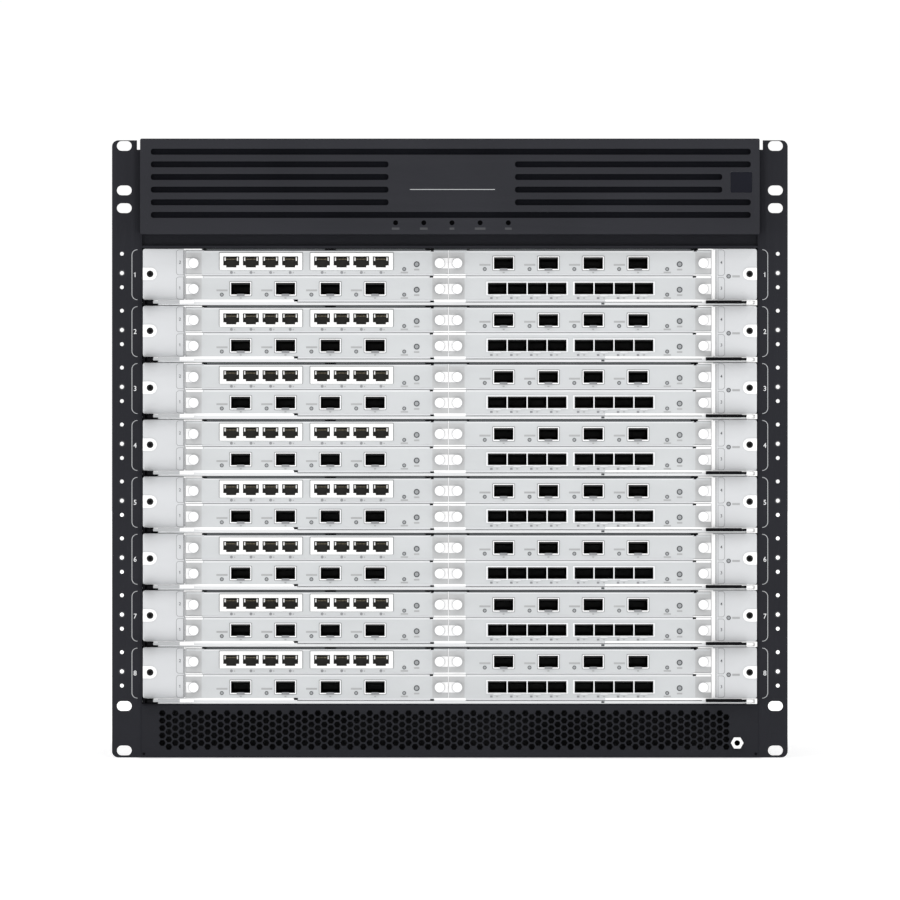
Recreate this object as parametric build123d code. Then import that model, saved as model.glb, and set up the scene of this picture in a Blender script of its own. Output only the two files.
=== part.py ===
from build123d import *
from math import cos, pi
import os

# A modular core router: a ten-unit rack chassis whose front holds eight line cards,
# each with four slide-in interface modules. The front faces -Y, X runs to the right
# and Z runs up. The origin is the middle of the chassis's underside. Millimetres.

# Rack standard
RACK_UNIT = 44.45
UNITS_HIGH = 10
UNIT_SPARE = 2.7
HOLE_FROM_UNIT_EDGE = 6.35
HOLE_SPREAD = 31.75
RACK_SLOT_LENGTH = 10.6
RACK_SLOT_WIDTH = 7.0

# Body
BODY_WIDTH = 442.0
BODY_DEPTH = 560.0
SKIN = 1.2
FIT = 0.3
BODY_HEIGHT = UNITS_HIGH * RACK_UNIT - UNIT_SPARE
INNER_X = BODY_WIDTH / 2 - SKIN
INNER_TOP = BODY_HEIGHT - SKIN
FRONT = -BODY_DEPTH / 2
BACK = BODY_DEPTH / 2

# Rack ears
EAR_WIDTH = 20.3
EAR_HOLE_EDGE = 8.75
EAR_SHEET = 2.5
EAR_LEG = 2.0
EAR_LEG_DEPTH = 60.0
EAR_TOP_DROP = 1.0
EAR_CORNER = 3.0
EAR_NOTCH_WIDTH = 2.5
EAR_NOTCH_DEPTH = 6.7
PANEL_WIDTH = BODY_WIDTH + 2 * EAR_WIDTH
RACK_HOLE_SPAN = PANEL_WIDTH - 2 * EAR_HOLE_EDGE

# Front zones, from the underside up
INTAKE_HEIGHT = 38.1
FASCIA_HEIGHT = 68.2
BAND_HEIGHT = 9.6
BAND_SETBACK = 3.0
BAND_DEPTH = 12.0
CAGE_TOP = BODY_HEIGHT - FASCIA_HEIGHT - BAND_HEIGHT
FASCIA_BOTTOM = BODY_HEIGHT - FASCIA_HEIGHT

# Card cage and midplane
SLOTS = 8
CARD_HEADROOM = 0.7
CARD_GAP = 4.15
CARD_SIDE_GAP = 0.5
MIDPLANE_FROM_FRONT = 318.0
MIDPLANE_SHEET = 3.2
SLOT_PITCH = (CAGE_TOP - CARD_HEADROOM - INTAKE_HEIGHT) / SLOTS
CARD_HEIGHT = SLOT_PITCH - CARD_GAP
CARD_WIDTH = 2 * (INNER_X - CARD_SIDE_GAP)
MIDPLANE_Y = FRONT + MIDPLANE_FROM_FRONT
MIDPLANE_BACK = MIDPLANE_Y + MIDPLANE_SHEET

# Line card, with heights counted from the middle of its plate
CARD_PLATE = 1.5
LEFT_MARGIN = 30.5
RIGHT_MARGIN = 32.5
BAY_ROOF = 0.85
BAY_WALL = 1.2
BAY_SHELF = 0.8
BAY_SPARE = 4.0
TRAY_SHEET = 1.4
TRAY_SIDE_GAP = 2.8
RAIL_WIDTH = 14.0
RAIL_SETBACK = 10.0
BOARD_SHEET = 1.6
BOARD_LIFT = 3.0
BOARD_MARGIN = 18.0
PLUG_WIDTH = 300.0
PLUG_DEPTH = 14.0
PLUG_HEIGHT = 26.0
CAPTIVE_INSET = 5.4
CAPTIVE_RADIUS = 2.6
CAPTIVE_SIDES = 4
CAPTIVE_DEPTH = 1.0
CARD_TOP = CARD_HEIGHT / 2
CARD_BOTTOM = -CARD_HEIGHT / 2
GAP_BOTTOM = CARD_BOTTOM - CARD_GAP
TRAY_TOP = CARD_BOTTOM
TRAY_BOTTOM = TRAY_TOP - TRAY_SHEET
BAY_LEFT = -CARD_WIDTH / 2 + LEFT_MARGIN
BAY_RIGHT = CARD_WIDTH / 2 - RIGHT_MARGIN

# Ejector levers under the ends of each card's plate
LEVER_LENGTH = 32.0
LEVER_WIDTH = 4.4
LEVER_LEAF = 0.6
LEVER_SLOT_DROP = 0.65
PIVOT_INSET = 4.6
PIVOT_STANDOFF = 3.6
PIVOT_RADIUS = 1.0
PIVOT_RUNNING_GAP = 0.05
PIVOT_SIDES = 6
EYE_RADIUS = 2.8
CLEVIS_WIDTH = 7.6
CLEVIS_DEPTH = 6.8
CLEVIS_WEB = 1.0
CLEVIS_GRIP = 1.1

# Interface modules, with places counted from the middle of their faces
MODULE_LENGTH = 198.0
KNOB_SIDES = 6
KNOB_RADIUS = 3.65
KNOB_LENGTH = 6.0
KNOB_INSET = 5.6
KNOB_DROP = 0.4
MODULE_WIDTH = (BAY_RIGHT - BAY_LEFT) / 2 - 2 * FIT
UPPER_TOP = CARD_TOP - BAY_ROOF - FIT
LOWER_BOTTOM = TRAY_TOP + FIT
MODULE_HEIGHT = (UPPER_TOP - LOWER_BOTTOM - BAY_SHELF - 2 * FIT) / 2
UPPER_Z = UPPER_TOP - MODULE_HEIGHT / 2
LOWER_Z = LOWER_BOTTOM + MODULE_HEIGHT / 2
BAY_MIDDLE = (BAY_LEFT + BAY_RIGHT) / 2
LEFT_X = (BAY_LEFT + BAY_MIDDLE) / 2
RIGHT_X = (BAY_MIDDLE + BAY_RIGHT) / 2

# Sockets: width, height and depth of the opening, its pitch and its height on the face
JACK = {"size": (11.4, 8.0, 15.0), "pitch": 14.0, "z": 0.65}
OPTIC_WIDE = {"size": (13.8, 8.0, 45.0), "pitch": 32.0, "z": -0.35}
OPTIC_GANGED = {"size": (13.4, 8.0, 45.0), "pitch": 14.25, "z": -0.1}
ROW_SOCKETS = 4
JACK_ROWS = (-40.2, 24.6)
WIDE_ROWS = (-6.5,)
GANGED_ROWS = (-37.7, 24.3)

# Top fascia with its long grooves and lamp holes
FASCIA_DEPTH = 12.0
FASCIA_WALL = 2.5
GROOVE_HEIGHT = 4.5
GROOVE_PITCH = 9.05
GROOVES = 6
GROOVE_TOP_DROP = 9.2
GROOVE_SIDE_MARGIN = 6.5
BADGE_LEFT = -43.8
BADGE_RIGHT = 46.5
PAD_FROM_SIDE = 26.7
LAMPS = 5
LAMP_PITCH = 20.1
LAMP_RADIUS = 1.75
LAMP_STRIP = 2.0
LAMP_STRIP_END = 3.5
LAMP_SIDES = 4
LAMP_DROP = 60.1
LAMP_MIDDLE_X = 1.5
LAMP_Z = BODY_HEIGHT - LAMP_DROP

# Intake grille, filter and static-discharge socket at the bottom
GRILLE_SHEET = 1.5
HEX_FLATS = 12.0
HEX_WEB = 4.1
HEX_LEFT_MARGIN = 15.6
HEX_RIGHT_MARGIN = 23.9
HEX_TOP = 33.7
HEX_BOTTOM = 5.5
FILTER_SETBACK = 14.0
FILTER_THICKNESS = 8.0
FILTER_MARGIN = 8.0
ESD_FROM_SIDE = 15.8
ESD_Z = 10.4
ESD_FLATS = 8.0
ESD_NUT = 2.5
ESD_BORE = 2.0
ESD_BARREL_FLATS = 6.0
ESD_BARREL = 9.0
ESD_HOLE_GAP = 0.1
ESD_BORE_DEPTH = 10.0
ESD_PLATE_WIDTH = 24.0
ESD_X = BODY_WIDTH / 2 - ESD_FROM_SIDE
HEX_LEFT = -BODY_WIDTH / 2 + HEX_LEFT_MARGIN
HEX_RIGHT = BODY_WIDTH / 2 - HEX_RIGHT_MARGIN

# Rear frame, its shelves and what slides into it
REAR_SHEET = 1.5
SHELF_SHEET = 1.2
REAR_FACE_SHEET = 1.5
REAR_FACE_LAP = 2.0
REAR_SIDE_MARGIN = 6.0
REAR_DEEP_GAP = 8.0
SUPPLIES = 2
SUPPLY_SIDE_ROOM = 15.8
SUPPLY_HEIGHT = 86.0
CONTROLS = 2
CONTROL_HEIGHT = 36.0
CONTROL_PITCH = 44.0
CONTROL_ABOVE_SUPPLY = 9.0
FAN_TRAY_DEPTH = 48.0
FAN_TRAY_UNDER_TOP = 6.0
HANDLE_LENGTH = 80.0
HANDLE_REACH = 30.0
HANDLE_BAR = 6.0
HANDLE_WIDTH = 10.0
INLET_SIZE = (27.0, 20.0, 22.0)
INLET_FROM_SIDE = 42.0
BOW_FROM_SIDE = 32.0
PORT_SIZE = (11.4, 8.0, 15.0)
PORTS = 2
PORT_PITCH = 24.0
PORT_FROM_SIDE = 71.0
SUPPLY_WIDTH = 2 * INNER_X / SUPPLIES - SUPPLY_SIDE_ROOM
INLET_X = -SUPPLY_WIDTH / 2 + INLET_FROM_SIDE
SUPPLY_HANDLE_X = SUPPLY_WIDTH / 2 - BOW_FROM_SIDE
PORT_FIRST_X = -BODY_WIDTH / 2 + PORT_FROM_SIDE
REAR_HALF = INNER_X - REAR_SIDE_MARGIN

# Fans
FANS = 3
FAN_END_ROOM = 25.6
FAN_GAP = 10.0
DUCT_SIDES = 10
DUCT_MARGIN = 9.0
BLADES = 5
BLADE_ROOT = 17.6
BLADE_CLEARANCE = 6.0
BLADE_CHORD = 30.0
BLADE_SHEET = 2.0
BLADE_TWIST = 38.0
HUB_SIDES = 8
HUB_RADIUS = 22.0
HUB_LENGTH = 26.0
SPIDER_BAR = 12.0
SPIDER_SHEET = 6.0
FAN_PITCH = (2 * REAR_HALF - FAN_END_ROOM) / FANS
DUCT_RADIUS = (FAN_PITCH - FAN_GAP) / 2
BLADE_REACH = DUCT_RADIUS - BLADE_CLEARANCE
FAN_TRAY_HEIGHT = 2 * (DUCT_RADIUS + DUCT_MARGIN)


def span(x, y, z):
    """A block between the low and high coordinates given for each direction."""
    low = (x[0], y[0], z[0])
    high = (x[1], y[1], z[1])
    size = [b - a for a, b in zip(low, high)]
    middle = [(a + b) / 2 for a, b in zip(low, high)]
    return Pos(*middle) * Box(*size)


def along_y(sketch, y):
    """A sketch drawn in X and Z, extruded from the low to the high Y given."""
    face = Plane(origin=(0, y[1], 0), x_dir=(1, 0, 0), z_dir=(0, -1, 0)) * sketch
    return extrude(face, amount=y[1] - y[0])


def prism(x, z, radius, sides, y, turn=0):
    """An upright regular prism along Y, whose radius reaches its corners."""
    return along_y(Pos(x, z) * RegularPolygon(radius, sides, rotation=turn), y)


def upright_prism(x, y, radius, z):
    """The pivot's outline, which repeats in its pin, its hole and the lever's eye."""
    outline = Pos(x, y) * RegularPolygon(radius, PIVOT_SIDES, rotation=180 / PIVOT_SIDES)
    return extrude(Plane.XY.offset(z[0]) * outline, amount=z[1] - z[0])


def flats_to_radius(flats):
    return flats / 2 / cos(pi / 6)


def grown(pair, by):
    return pair[0] - by, pair[1] + by


def centred(count, pitch):
    """Places of a row of things, evenly spaced about zero."""
    return [(i - (count - 1) / 2) * pitch for i in range(count)]


def slot_z(slot):
    """Height of the middle of a card's plate; slot 1 is at the top."""
    return INTAKE_HEIGHT + CARD_GAP + CARD_HEIGHT / 2 + (SLOTS - slot) * SLOT_PITCH


def rack_hole_heights():
    """Both holes of the top and bottom units, and the first hole of the second one."""
    rows = [(0, 0), (0, HOLE_SPREAD), (1, 0), (UNITS_HIGH - 1, 0), (UNITS_HIGH - 1, HOLE_SPREAD)]
    top = BODY_HEIGHT + UNIT_SPARE / 2 - HOLE_FROM_UNIT_EDGE
    return [top - unit * RACK_UNIT - spread for unit, spread in rows]


def chassis_shell():
    outer = Pos(0, BODY_HEIGHT / 2) * Rectangle(BODY_WIDTH, BODY_HEIGHT)
    inner = Pos(0, BODY_HEIGHT / 2) * Rectangle(2 * INNER_X, BODY_HEIGHT - 2 * SKIN)
    tube = along_y(outer - inner, (FRONT, BACK))
    wide = (-INNER_X, INNER_X)
    deep = (FRONT, MIDPLANE_BACK)
    floor = span(wide, deep, (INTAKE_HEIGHT - SKIN, INTAKE_HEIGHT))
    ceiling = span(wide, deep, (CAGE_TOP, CAGE_TOP + SKIN))
    band_front = FRONT + BAND_SETBACK
    band = span(wide, (band_front, band_front + BAND_DEPTH), (CAGE_TOP, FASCIA_BOTTOM + FASCIA_WALL))
    return tube + [floor, ceiling, band]


def rack_ear():
    """The right-hand ear: a slotted flange with a leg along the chassis's side."""
    inner = BODY_WIDTH / 2
    top = BODY_HEIGHT - EAR_TOP_DROP
    flange = span((inner, PANEL_WIDTH / 2), (FRONT, FRONT + EAR_SHEET), (0, top))
    corners = flange.edges().filter_by(Axis.Y).group_by(Axis.X)[-1]
    flange = chamfer(corners, EAR_CORNER)
    leg_top = top - EAR_NOTCH_DEPTH
    leg = span((inner, inner + EAR_LEG), (FRONT, FRONT + EAR_LEG_DEPTH), (0, leg_top))
    notch = span((inner, inner + EAR_NOTCH_WIDTH), (FRONT, FRONT + EAR_SHEET), (leg_top, top))
    slot = SlotOverall(RACK_SLOT_LENGTH, RACK_SLOT_WIDTH)
    cuts = [notch]
    for z in rack_hole_heights():
        cuts.append(along_y(Pos(RACK_HOLE_SPAN / 2, z) * slot, (FRONT, FRONT + EAR_SHEET)))
    return (flange + leg) - cuts


def rack_ears():
    right = rack_ear()
    return Compound([right, mirror(right, Plane.YZ)])


def card_guides():
    """A ledge on each side wall under each card's tray."""
    rails = []
    inner = INNER_X - RAIL_WIDTH
    for slot in range(1, SLOTS + 1):
        z = (slot_z(slot) + GAP_BOTTOM + 2 * FIT, slot_z(slot) + TRAY_BOTTOM - FIT)
        y = (FRONT + RAIL_SETBACK, MIDPLANE_Y)
        rails.append(span((inner, INNER_X), y, z))
        rails.append(span((-INNER_X, -inner), y, z))
    return Compound(rails)


def midplane():
    wide = (-INNER_X, INNER_X)
    return span(wide, (MIDPLANE_Y, MIDPLANE_BACK), (INTAKE_HEIGHT, CAGE_TOP))


def groove_spans(row):
    """The X ranges of the grooves in one row, which leave a badge and a pad bare."""
    left = -BODY_WIDTH / 2 + GROOVE_SIDE_MARGIN
    right = BODY_WIDTH / 2 - GROOVE_SIDE_MARGIN
    if row in (0, GROOVES - 1):
        return [(left, right)]
    beside_pad = row in (GROOVES // 2 - 1, GROOVES // 2)
    right_end = BODY_WIDTH / 2 - PAD_FROM_SIDE if beside_pad else right
    return [(left, BADGE_LEFT), (BADGE_RIGHT, right_end)]


def lamp_places():
    return [LAMP_MIDDLE_X + x for x in centred(LAMPS, LAMP_PITCH)]


def top_fascia():
    """A hollow bezel, open at the back, with grooves and lamp holes through its face."""
    y = (FRONT - FASCIA_DEPTH, FRONT)
    half = BODY_WIDTH / 2
    bezel = span((-half, half), y, (FASCIA_BOTTOM, BODY_HEIGHT))
    hollow = span(
        (-half + FASCIA_WALL, half - FASCIA_WALL),
        (y[0] + FASCIA_WALL, y[1]),
        (FASCIA_BOTTOM + FASCIA_WALL, BODY_HEIGHT - FASCIA_WALL),
    )
    face = (y[0], y[0] + FASCIA_WALL)
    cuts = [hollow]
    for row in range(GROOVES):
        middle = BODY_HEIGHT - GROOVE_TOP_DROP - row * GROOVE_PITCH
        z = (middle - GROOVE_HEIGHT / 2, middle + GROOVE_HEIGHT / 2)
        cuts += [span(x, face, z) for x in groove_spans(row)]
    cuts += [prism(x, LAMP_Z, LAMP_RADIUS, LAMP_SIDES, face) for x in lamp_places()]
    return bezel - cuts


def status_lamps():
    """A strip of lamps behind the fascia's face, which show through its holes."""
    back = FRONT - FASCIA_DEPTH + FASCIA_WALL
    places = lamp_places()
    return span(
        grown((places[0], places[-1]), LAMP_STRIP_END),
        (back, back + LAMP_STRIP),
        (FASCIA_BOTTOM + FASCIA_WALL, LAMP_Z + LAMP_STRIP_END),
    )


def hex_places():
    """Centres of the grille's holes: columns in turn with one hole more and less."""
    pitch = HEX_FLATS + HEX_WEB
    step = pitch * cos(pi / 6)
    room = (HEX_TOP - HEX_BOTTOM - HEX_FLATS) / pitch
    middle = (HEX_TOP + HEX_BOTTOM) / 2
    columns = int((HEX_RIGHT - HEX_LEFT) / step)
    full = int(room) + 1
    places = []
    for column, x in enumerate(centred(columns, step)):
        count = full - column % 2 if full > 1 else full
        for z in centred(count, pitch):
            places.append((x + (HEX_LEFT + HEX_RIGHT) / 2, middle + z))
    return places


def intake_grille():
    """The pierced panel and, beside it, the plain end plate that carries the socket."""
    y = (FRONT, FRONT + GRILLE_SHEET)
    z = (SKIN, INTAKE_HEIGHT - SKIN)
    seam = INNER_X - ESD_PLATE_WIDTH
    radius = flats_to_radius(HEX_FLATS)
    holes = [prism(x, z, radius, 6, y) for x, z in hex_places()]
    barrel = flats_to_radius(ESD_BARREL_FLATS) + ESD_HOLE_GAP
    panel = span((-INNER_X, seam), y, z) - holes
    plate = span((seam, INNER_X), y, z) - prism(ESD_X, ESD_Z, barrel, 6, y)
    return Compound([panel, plate])


def esd_socket():
    """A hexagon nut and barrel, with the blind bore that a wrist strap's plug enters."""
    nut = prism(ESD_X, ESD_Z, flats_to_radius(ESD_FLATS), 6, (FRONT - ESD_NUT, FRONT))
    barrel = prism(ESD_X, ESD_Z, flats_to_radius(ESD_BARREL_FLATS), 6, (FRONT, FRONT + ESD_BARREL))
    mouth = FRONT - ESD_NUT
    bore = along_y(Pos(ESD_X, ESD_Z) * Circle(ESD_BORE), (mouth, mouth + ESD_BORE_DEPTH))
    return nut + barrel - bore


def air_filter():
    front = FRONT + FILTER_SETBACK
    x = (-INNER_X + FILTER_MARGIN, INNER_X - FILTER_MARGIN)
    return span(x, (front, front + FILTER_THICKNESS), (SKIN, INTAKE_HEIGHT - SKIN))


def clevis():
    """The right-hand lever's bracket: a block with a slot for the lever's eye."""
    outer = CARD_WIDTH / 2
    y = (FRONT - CLEVIS_DEPTH, FRONT)
    tall = (GAP_BOTTOM + FIT, CARD_BOTTOM + CLEVIS_GRIP)
    block = span((outer - CLEVIS_WIDTH, outer), y, tall)
    gap = (GAP_BOTTOM + FIT + LEVER_LEAF, CARD_BOTTOM - LEVER_SLOT_DROP)
    return block - span((outer - CLEVIS_WIDTH, outer - CLEVIS_WEB), y, gap)


def pivot_place():
    return CARD_WIDTH / 2 - PIVOT_INSET, FRONT - PIVOT_STANDOFF


def lever_heights():
    return GAP_BOTTOM + LEVER_LEAF + 2 * FIT, CARD_BOTTOM - LEVER_SLOT_DROP - FIT


def pivot_pin():
    x, y = pivot_place()
    low = GAP_BOTTOM + FIT
    return upright_prism(x, y, PIVOT_RADIUS, (low, CARD_BOTTOM))


def folded_lever():
    """A lever and its bracket as one piece, for the cards whose levers have no joint."""
    end = pivot_place()[0] - LEVER_LENGTH
    y = (FRONT - CLEVIS_DEPTH, FRONT + CARD_PLATE)
    return span((end, CARD_WIDTH / 2), y, (lever_heights()[0], CARD_BOTTOM))


def lever():
    """The right-hand ejector lever: a flat bar with an eye round the pivot pin."""
    x, y = pivot_place()
    low, high = lever_heights()
    room = (PIVOT_RADIUS + PIVOT_RUNNING_GAP) / cos(pi / PIVOT_SIDES)
    bar = span((x - LEVER_LENGTH, x), (y - LEVER_WIDTH / 2, y + LEVER_WIDTH / 2), (low, high))
    eye = upright_prism(x, y, EYE_RADIUS, (low, high))
    return bar + eye - upright_prism(x, y, room, (low, high))


def card_body():
    """A card's plate ends, tray, walled bays for its modules, main board and plug."""
    half = CARD_WIDTH / 2
    tall = (CARD_BOTTOM, CARD_TOP)
    tray_half = half - TRAY_SIDE_GAP
    bay_back = FRONT + MODULE_LENGTH + BAY_SPARE
    bay = (FRONT, bay_back - BAY_WALL)
    upper_bottom = UPPER_TOP - MODULE_HEIGHT - FIT
    wide = (BAY_LEFT, BAY_RIGHT)
    plug_y = (MIDPLANE_Y - FIT - PLUG_DEPTH, MIDPLANE_Y - FIT)
    board_z = (TRAY_TOP + BOARD_LIFT, TRAY_TOP + BOARD_LIFT + BOARD_SHEET)
    board_half = half - BOARD_MARGIN
    pieces = [
        span((-half, half), (FRONT, FRONT + CARD_PLATE), tall),
        span(grown(wide, BAY_WALL), (FRONT, bay_back), (TRAY_TOP, CARD_TOP)),
        span((-board_half, board_half), (bay_back, plug_y[0]), board_z),
        span((-PLUG_WIDTH / 2, PLUG_WIDTH / 2), plug_y, (TRAY_TOP, TRAY_TOP + PLUG_HEIGHT)),
    ]
    bays = [
        span(wide, bay, (upper_bottom, CARD_TOP - BAY_ROOF)),
        span(wide, bay, (TRAY_TOP, upper_bottom - BAY_SHELF)),
    ]
    tray = span((-tray_half, tray_half), (FRONT, plug_y[1]), (TRAY_BOTTOM, TRAY_TOP))
    return tray + pieces - bays


def captive_sockets():
    """The sockets of the captive screws near the plate's ends."""
    x = CARD_WIDTH / 2 - CAPTIVE_INSET
    y = (FRONT, FRONT + CAPTIVE_DEPTH)
    return [prism(side * x, 0, CAPTIVE_RADIUS, CAPTIVE_SIDES, y) for side in (-1, 1)]


def both_sides(piece):
    return [piece, mirror(piece, Plane.YZ)]


def line_card(with_pins):
    """A whole card. With pins, its levers turn; without, they are part of it."""
    if with_pins:
        fittings = both_sides(clevis()) + both_sides(pivot_pin())
    else:
        fittings = both_sides(folded_lever())
    return card_body() + fittings - captive_sockets()


def socket_places(kind, rows):
    """X places of a module's sockets: four in each row."""
    return [row + x for row in rows for x in centred(ROW_SOCKETS, kind["pitch"])]


def interface_module(kind, rows):
    """A closed module case with its sockets and two thumbscrews."""
    half = MODULE_WIDTH / 2
    tall = MODULE_HEIGHT / 2
    width, height, depth = kind["size"]
    case = span((-half, half), (0, MODULE_LENGTH), (-tall, tall))
    low = kind["z"] - height / 2
    cuts = []
    for x in socket_places(kind, rows):
        cuts.append(span((x - width / 2, x + width / 2), (0, depth), (low, low + height)))
    added = []
    for side in (-1, 1):
        x = side * (half - KNOB_INSET)
        added.append(prism(x, -KNOB_DROP, KNOB_RADIUS, KNOB_SIDES, (-KNOB_LENGTH, 0)))
    return case + added - cuts


MODULES = {
    "upper_left": (JACK, JACK_ROWS, LEFT_X, UPPER_Z),
    "lower_left": (OPTIC_WIDE, WIDE_ROWS, LEFT_X, LOWER_Z),
    "upper_right": (OPTIC_WIDE, WIDE_ROWS, RIGHT_X, UPPER_Z),
    "lower_right": (OPTIC_GANGED, GANGED_ROWS, RIGHT_X, LOWER_Z),
}


def supply_places():
    return centred(SUPPLIES, 2 * INNER_X / SUPPLIES)


def supply_z():
    return SKIN + FIT, SKIN + FIT + SUPPLY_HEIGHT


def control_z(number):
    first = supply_z()[1] + CONTROL_ABOVE_SUPPLY
    low = first + (number - 1) * CONTROL_PITCH
    return low, low + CONTROL_HEIGHT


def fan_tray_z():
    high = INNER_TOP - FAN_TRAY_UNDER_TOP
    return high - FAN_TRAY_HEIGHT, high


def supply_x(place):
    return place - SUPPLY_WIDTH / 2, place + SUPPLY_WIDTH / 2


def rear_wide():
    return -REAR_HALF, REAR_HALF


def rear_frame():
    """The back panel with an opening for each unit, and the shelves they slide on."""
    sheet = (BACK - REAR_SHEET, BACK)
    panel = span((-INNER_X, INNER_X), sheet, (SKIN, INNER_TOP))
    wide = grown(rear_wide(), FIT)
    lowest = supply_z()
    cuts = [
        span(grown(supply_x(place), FIT), sheet, (SKIN, lowest[1] + FIT))
        for place in supply_places()
    ]
    cuts += [
        span(wide, sheet, grown(control_z(number), FIT)) for number in range(1, CONTROLS + 1)
    ]
    cuts.append(span(wide, sheet, grown(fan_tray_z(), FIT)))
    bottoms = [control_z(number)[0] for number in range(1, CONTROLS + 1)]
    shelves = []
    for bottom in bottoms:
        high = bottom - FIT
        y = (MIDPLANE_BACK, sheet[1])
        shelves.append(span((-INNER_X, INNER_X), y, (high - SHELF_SHEET, high)))
    high = fan_tray_z()[0] - FIT
    y = (BACK - FAN_TRAY_DEPTH - REAR_DEEP_GAP, sheet[1])
    shelves.append(span((-INNER_X, INNER_X), y, (high - SHELF_SHEET, high)))
    return panel - cuts + shelves


def rear_face(x, z):
    """A unit's outer plate, which laps the rear frame round its opening."""
    front = BACK + FIT
    return span(grown(x, REAR_FACE_LAP), (front, front + REAR_FACE_SHEET), z)


def handle(x, z, upright):
    """A square bow to pull a rear unit out by."""
    start = BACK + FIT + REAR_FACE_SHEET
    long = (-HANDLE_LENGTH / 2, HANDLE_LENGTH / 2)
    wide = (-HANDLE_WIDTH / 2, HANDLE_WIDTH / 2)
    gap_y = (start, start + HANDLE_REACH - HANDLE_BAR)
    gap = (long[0] + HANDLE_BAR, long[1] - HANDLE_BAR)
    y = (start, start + HANDLE_REACH)
    if upright:
        bow = span(wide, y, long) - span(wide, gap_y, gap)
    else:
        bow = span(long, y, wide) - span(gap, gap_y, wide)
    return Pos(x, 0, z) * bow


def power_supply(place):
    """A closed supply with its mains inlet and a handle."""
    x = supply_x(place)
    z = supply_z()
    middle = (z[0] + z[1]) / 2
    body = span(x, (MIDPLANE_BACK + REAR_DEEP_GAP, BACK + FIT), z)
    width, height, depth = INLET_SIZE
    inlet_x = place + INLET_X
    outside = BACK + FIT + REAR_FACE_SHEET
    inlet = span(
        (inlet_x - width / 2, inlet_x + width / 2),
        (outside - depth, outside),
        (middle - height / 2, middle + height / 2),
    )
    bow = handle(place + SUPPLY_HANDLE_X, middle, upright=True)
    return body + [rear_face(x, z), bow] - inlet


def control_module(number):
    """A controller board on a tray, with its plug, plate and management ports."""
    x = rear_wide()
    z = control_z(number)
    deep = (MIDPLANE_BACK + FIT, BACK + FIT)
    board = span(x, deep, (z[0], z[0] + BOARD_SHEET))
    plug = span((-PLUG_WIDTH / 2, PLUG_WIDTH / 2), (deep[0], deep[0] + PLUG_DEPTH), z)
    width, height, depth = PORT_SIZE
    outside = BACK + FIT + REAR_FACE_SHEET
    middle = (z[0] + z[1]) / 2
    places = [PORT_FIRST_X + i * PORT_PITCH for i in range(PORTS)]
    block = span(
        (places[0] - PORT_PITCH / 2, places[-1] + PORT_PITCH / 2),
        (outside - depth - REAR_SHEET, BACK + FIT),
        (z[0], middle + height),
    )
    cuts = [
        span(
            (place - width / 2, place + width / 2),
            (outside - depth, outside),
            (middle - height / 2, middle + height / 2),
        )
        for place in places
    ]
    return board + [plug, block, rear_face(x, z)] - cuts


def fan_places():
    return centred(FANS, FAN_PITCH)


def fan_tray():
    """A ducted tray for the fans, with a bar across each duct that carries the hub."""
    x = rear_wide()
    z = fan_tray_z()
    middle = (z[0] + z[1]) / 2
    y = (BACK - FAN_TRAY_DEPTH, BACK + FIT)
    outside = BACK + FIT + REAR_FACE_SHEET
    ducts = [
        prism(place, middle, DUCT_RADIUS, DUCT_SIDES, (y[0], outside), turn=180 / DUCT_SIDES)
        for place in fan_places()
    ]
    bars = [
        span(
            (place - SPIDER_BAR / 2, place + SPIDER_BAR / 2),
            (y[0], y[0] + SPIDER_SHEET),
            (middle - DUCT_RADIUS, middle + DUCT_RADIUS),
        )
        for place in fan_places()
    ]
    bow_x = (fan_places()[0] + fan_places()[1]) / 2
    bow = handle(bow_x, middle, upright=True)
    return span(x, y, z) + [rear_face(x, z), bow] - ducts + bars


def fan_rotor(place):
    """A hub with pitched blades, which turns about a line along Y."""
    z = fan_tray_z()
    middle = (z[0] + z[1]) / 2
    hub_y = BACK - FAN_TRAY_DEPTH + SPIDER_SHEET + FIT
    hub = prism(0, 0, HUB_RADIUS, HUB_SIDES, (0, HUB_LENGTH))
    blade = span(
        (-BLADE_SHEET / 2, BLADE_SHEET / 2),
        (-BLADE_CHORD / 2, BLADE_CHORD / 2),
        (BLADE_ROOT, BLADE_REACH),
    )
    blade = Rot(0, 0, BLADE_TWIST) * blade
    blades = [
        Pos(0, HUB_LENGTH / 2, 0) * Rot(0, i * 360 / BLADES, 0) * blade for i in range(BLADES)
    ]
    return Pos(place, hub_y, middle) * (hub + blades)


def build():
    parts = {
        "chassis_shell": chassis_shell(),
        "rack_ears": rack_ears(),
        "card_guides": card_guides(),
        "top_fascia": top_fascia(),
        "status_lamps": status_lamps(),
        "intake_grille": intake_grille(),
        "esd_socket": esd_socket(),
        "midplane": midplane(),
        "rear_frame": rear_frame(),
        "air_filter": air_filter(),
    }
    pinned_card = line_card(with_pins=True)
    plain_card = line_card(with_pins=False)
    turning_lever = lever()
    parts["ejector_lever_right"] = Pos(0, 0, slot_z(1)) * turning_lever
    parts["ejector_lever_left"] = Pos(0, 0, slot_z(1)) * mirror(turning_lever, Plane.YZ)
    blanks = {place: interface_module(kind, rows) for place, (kind, rows, _, _) in MODULES.items()}
    for slot in range(1, SLOTS + 1):
        card = pinned_card if slot == 1 else plain_card
        parts[f"line_card_{slot}"] = Pos(0, 0, slot_z(slot)) * card
        for place, (_, _, x, z) in MODULES.items():
            parts[f"module_{slot}_{place}"] = Pos(x, FRONT, slot_z(slot) + z) * blanks[place]
    for number, place in enumerate(supply_places(), start=1):
        parts[f"power_supply_{number}"] = power_supply(place)
    for number in range(1, CONTROLS + 1):
        parts[f"control_module_{number}"] = control_module(number)
    parts["fan_tray"] = fan_tray()
    for number, place in enumerate(fan_places(), start=1):
        parts[f"fan_rotor_{number}"] = fan_rotor(place)
    return parts


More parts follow.
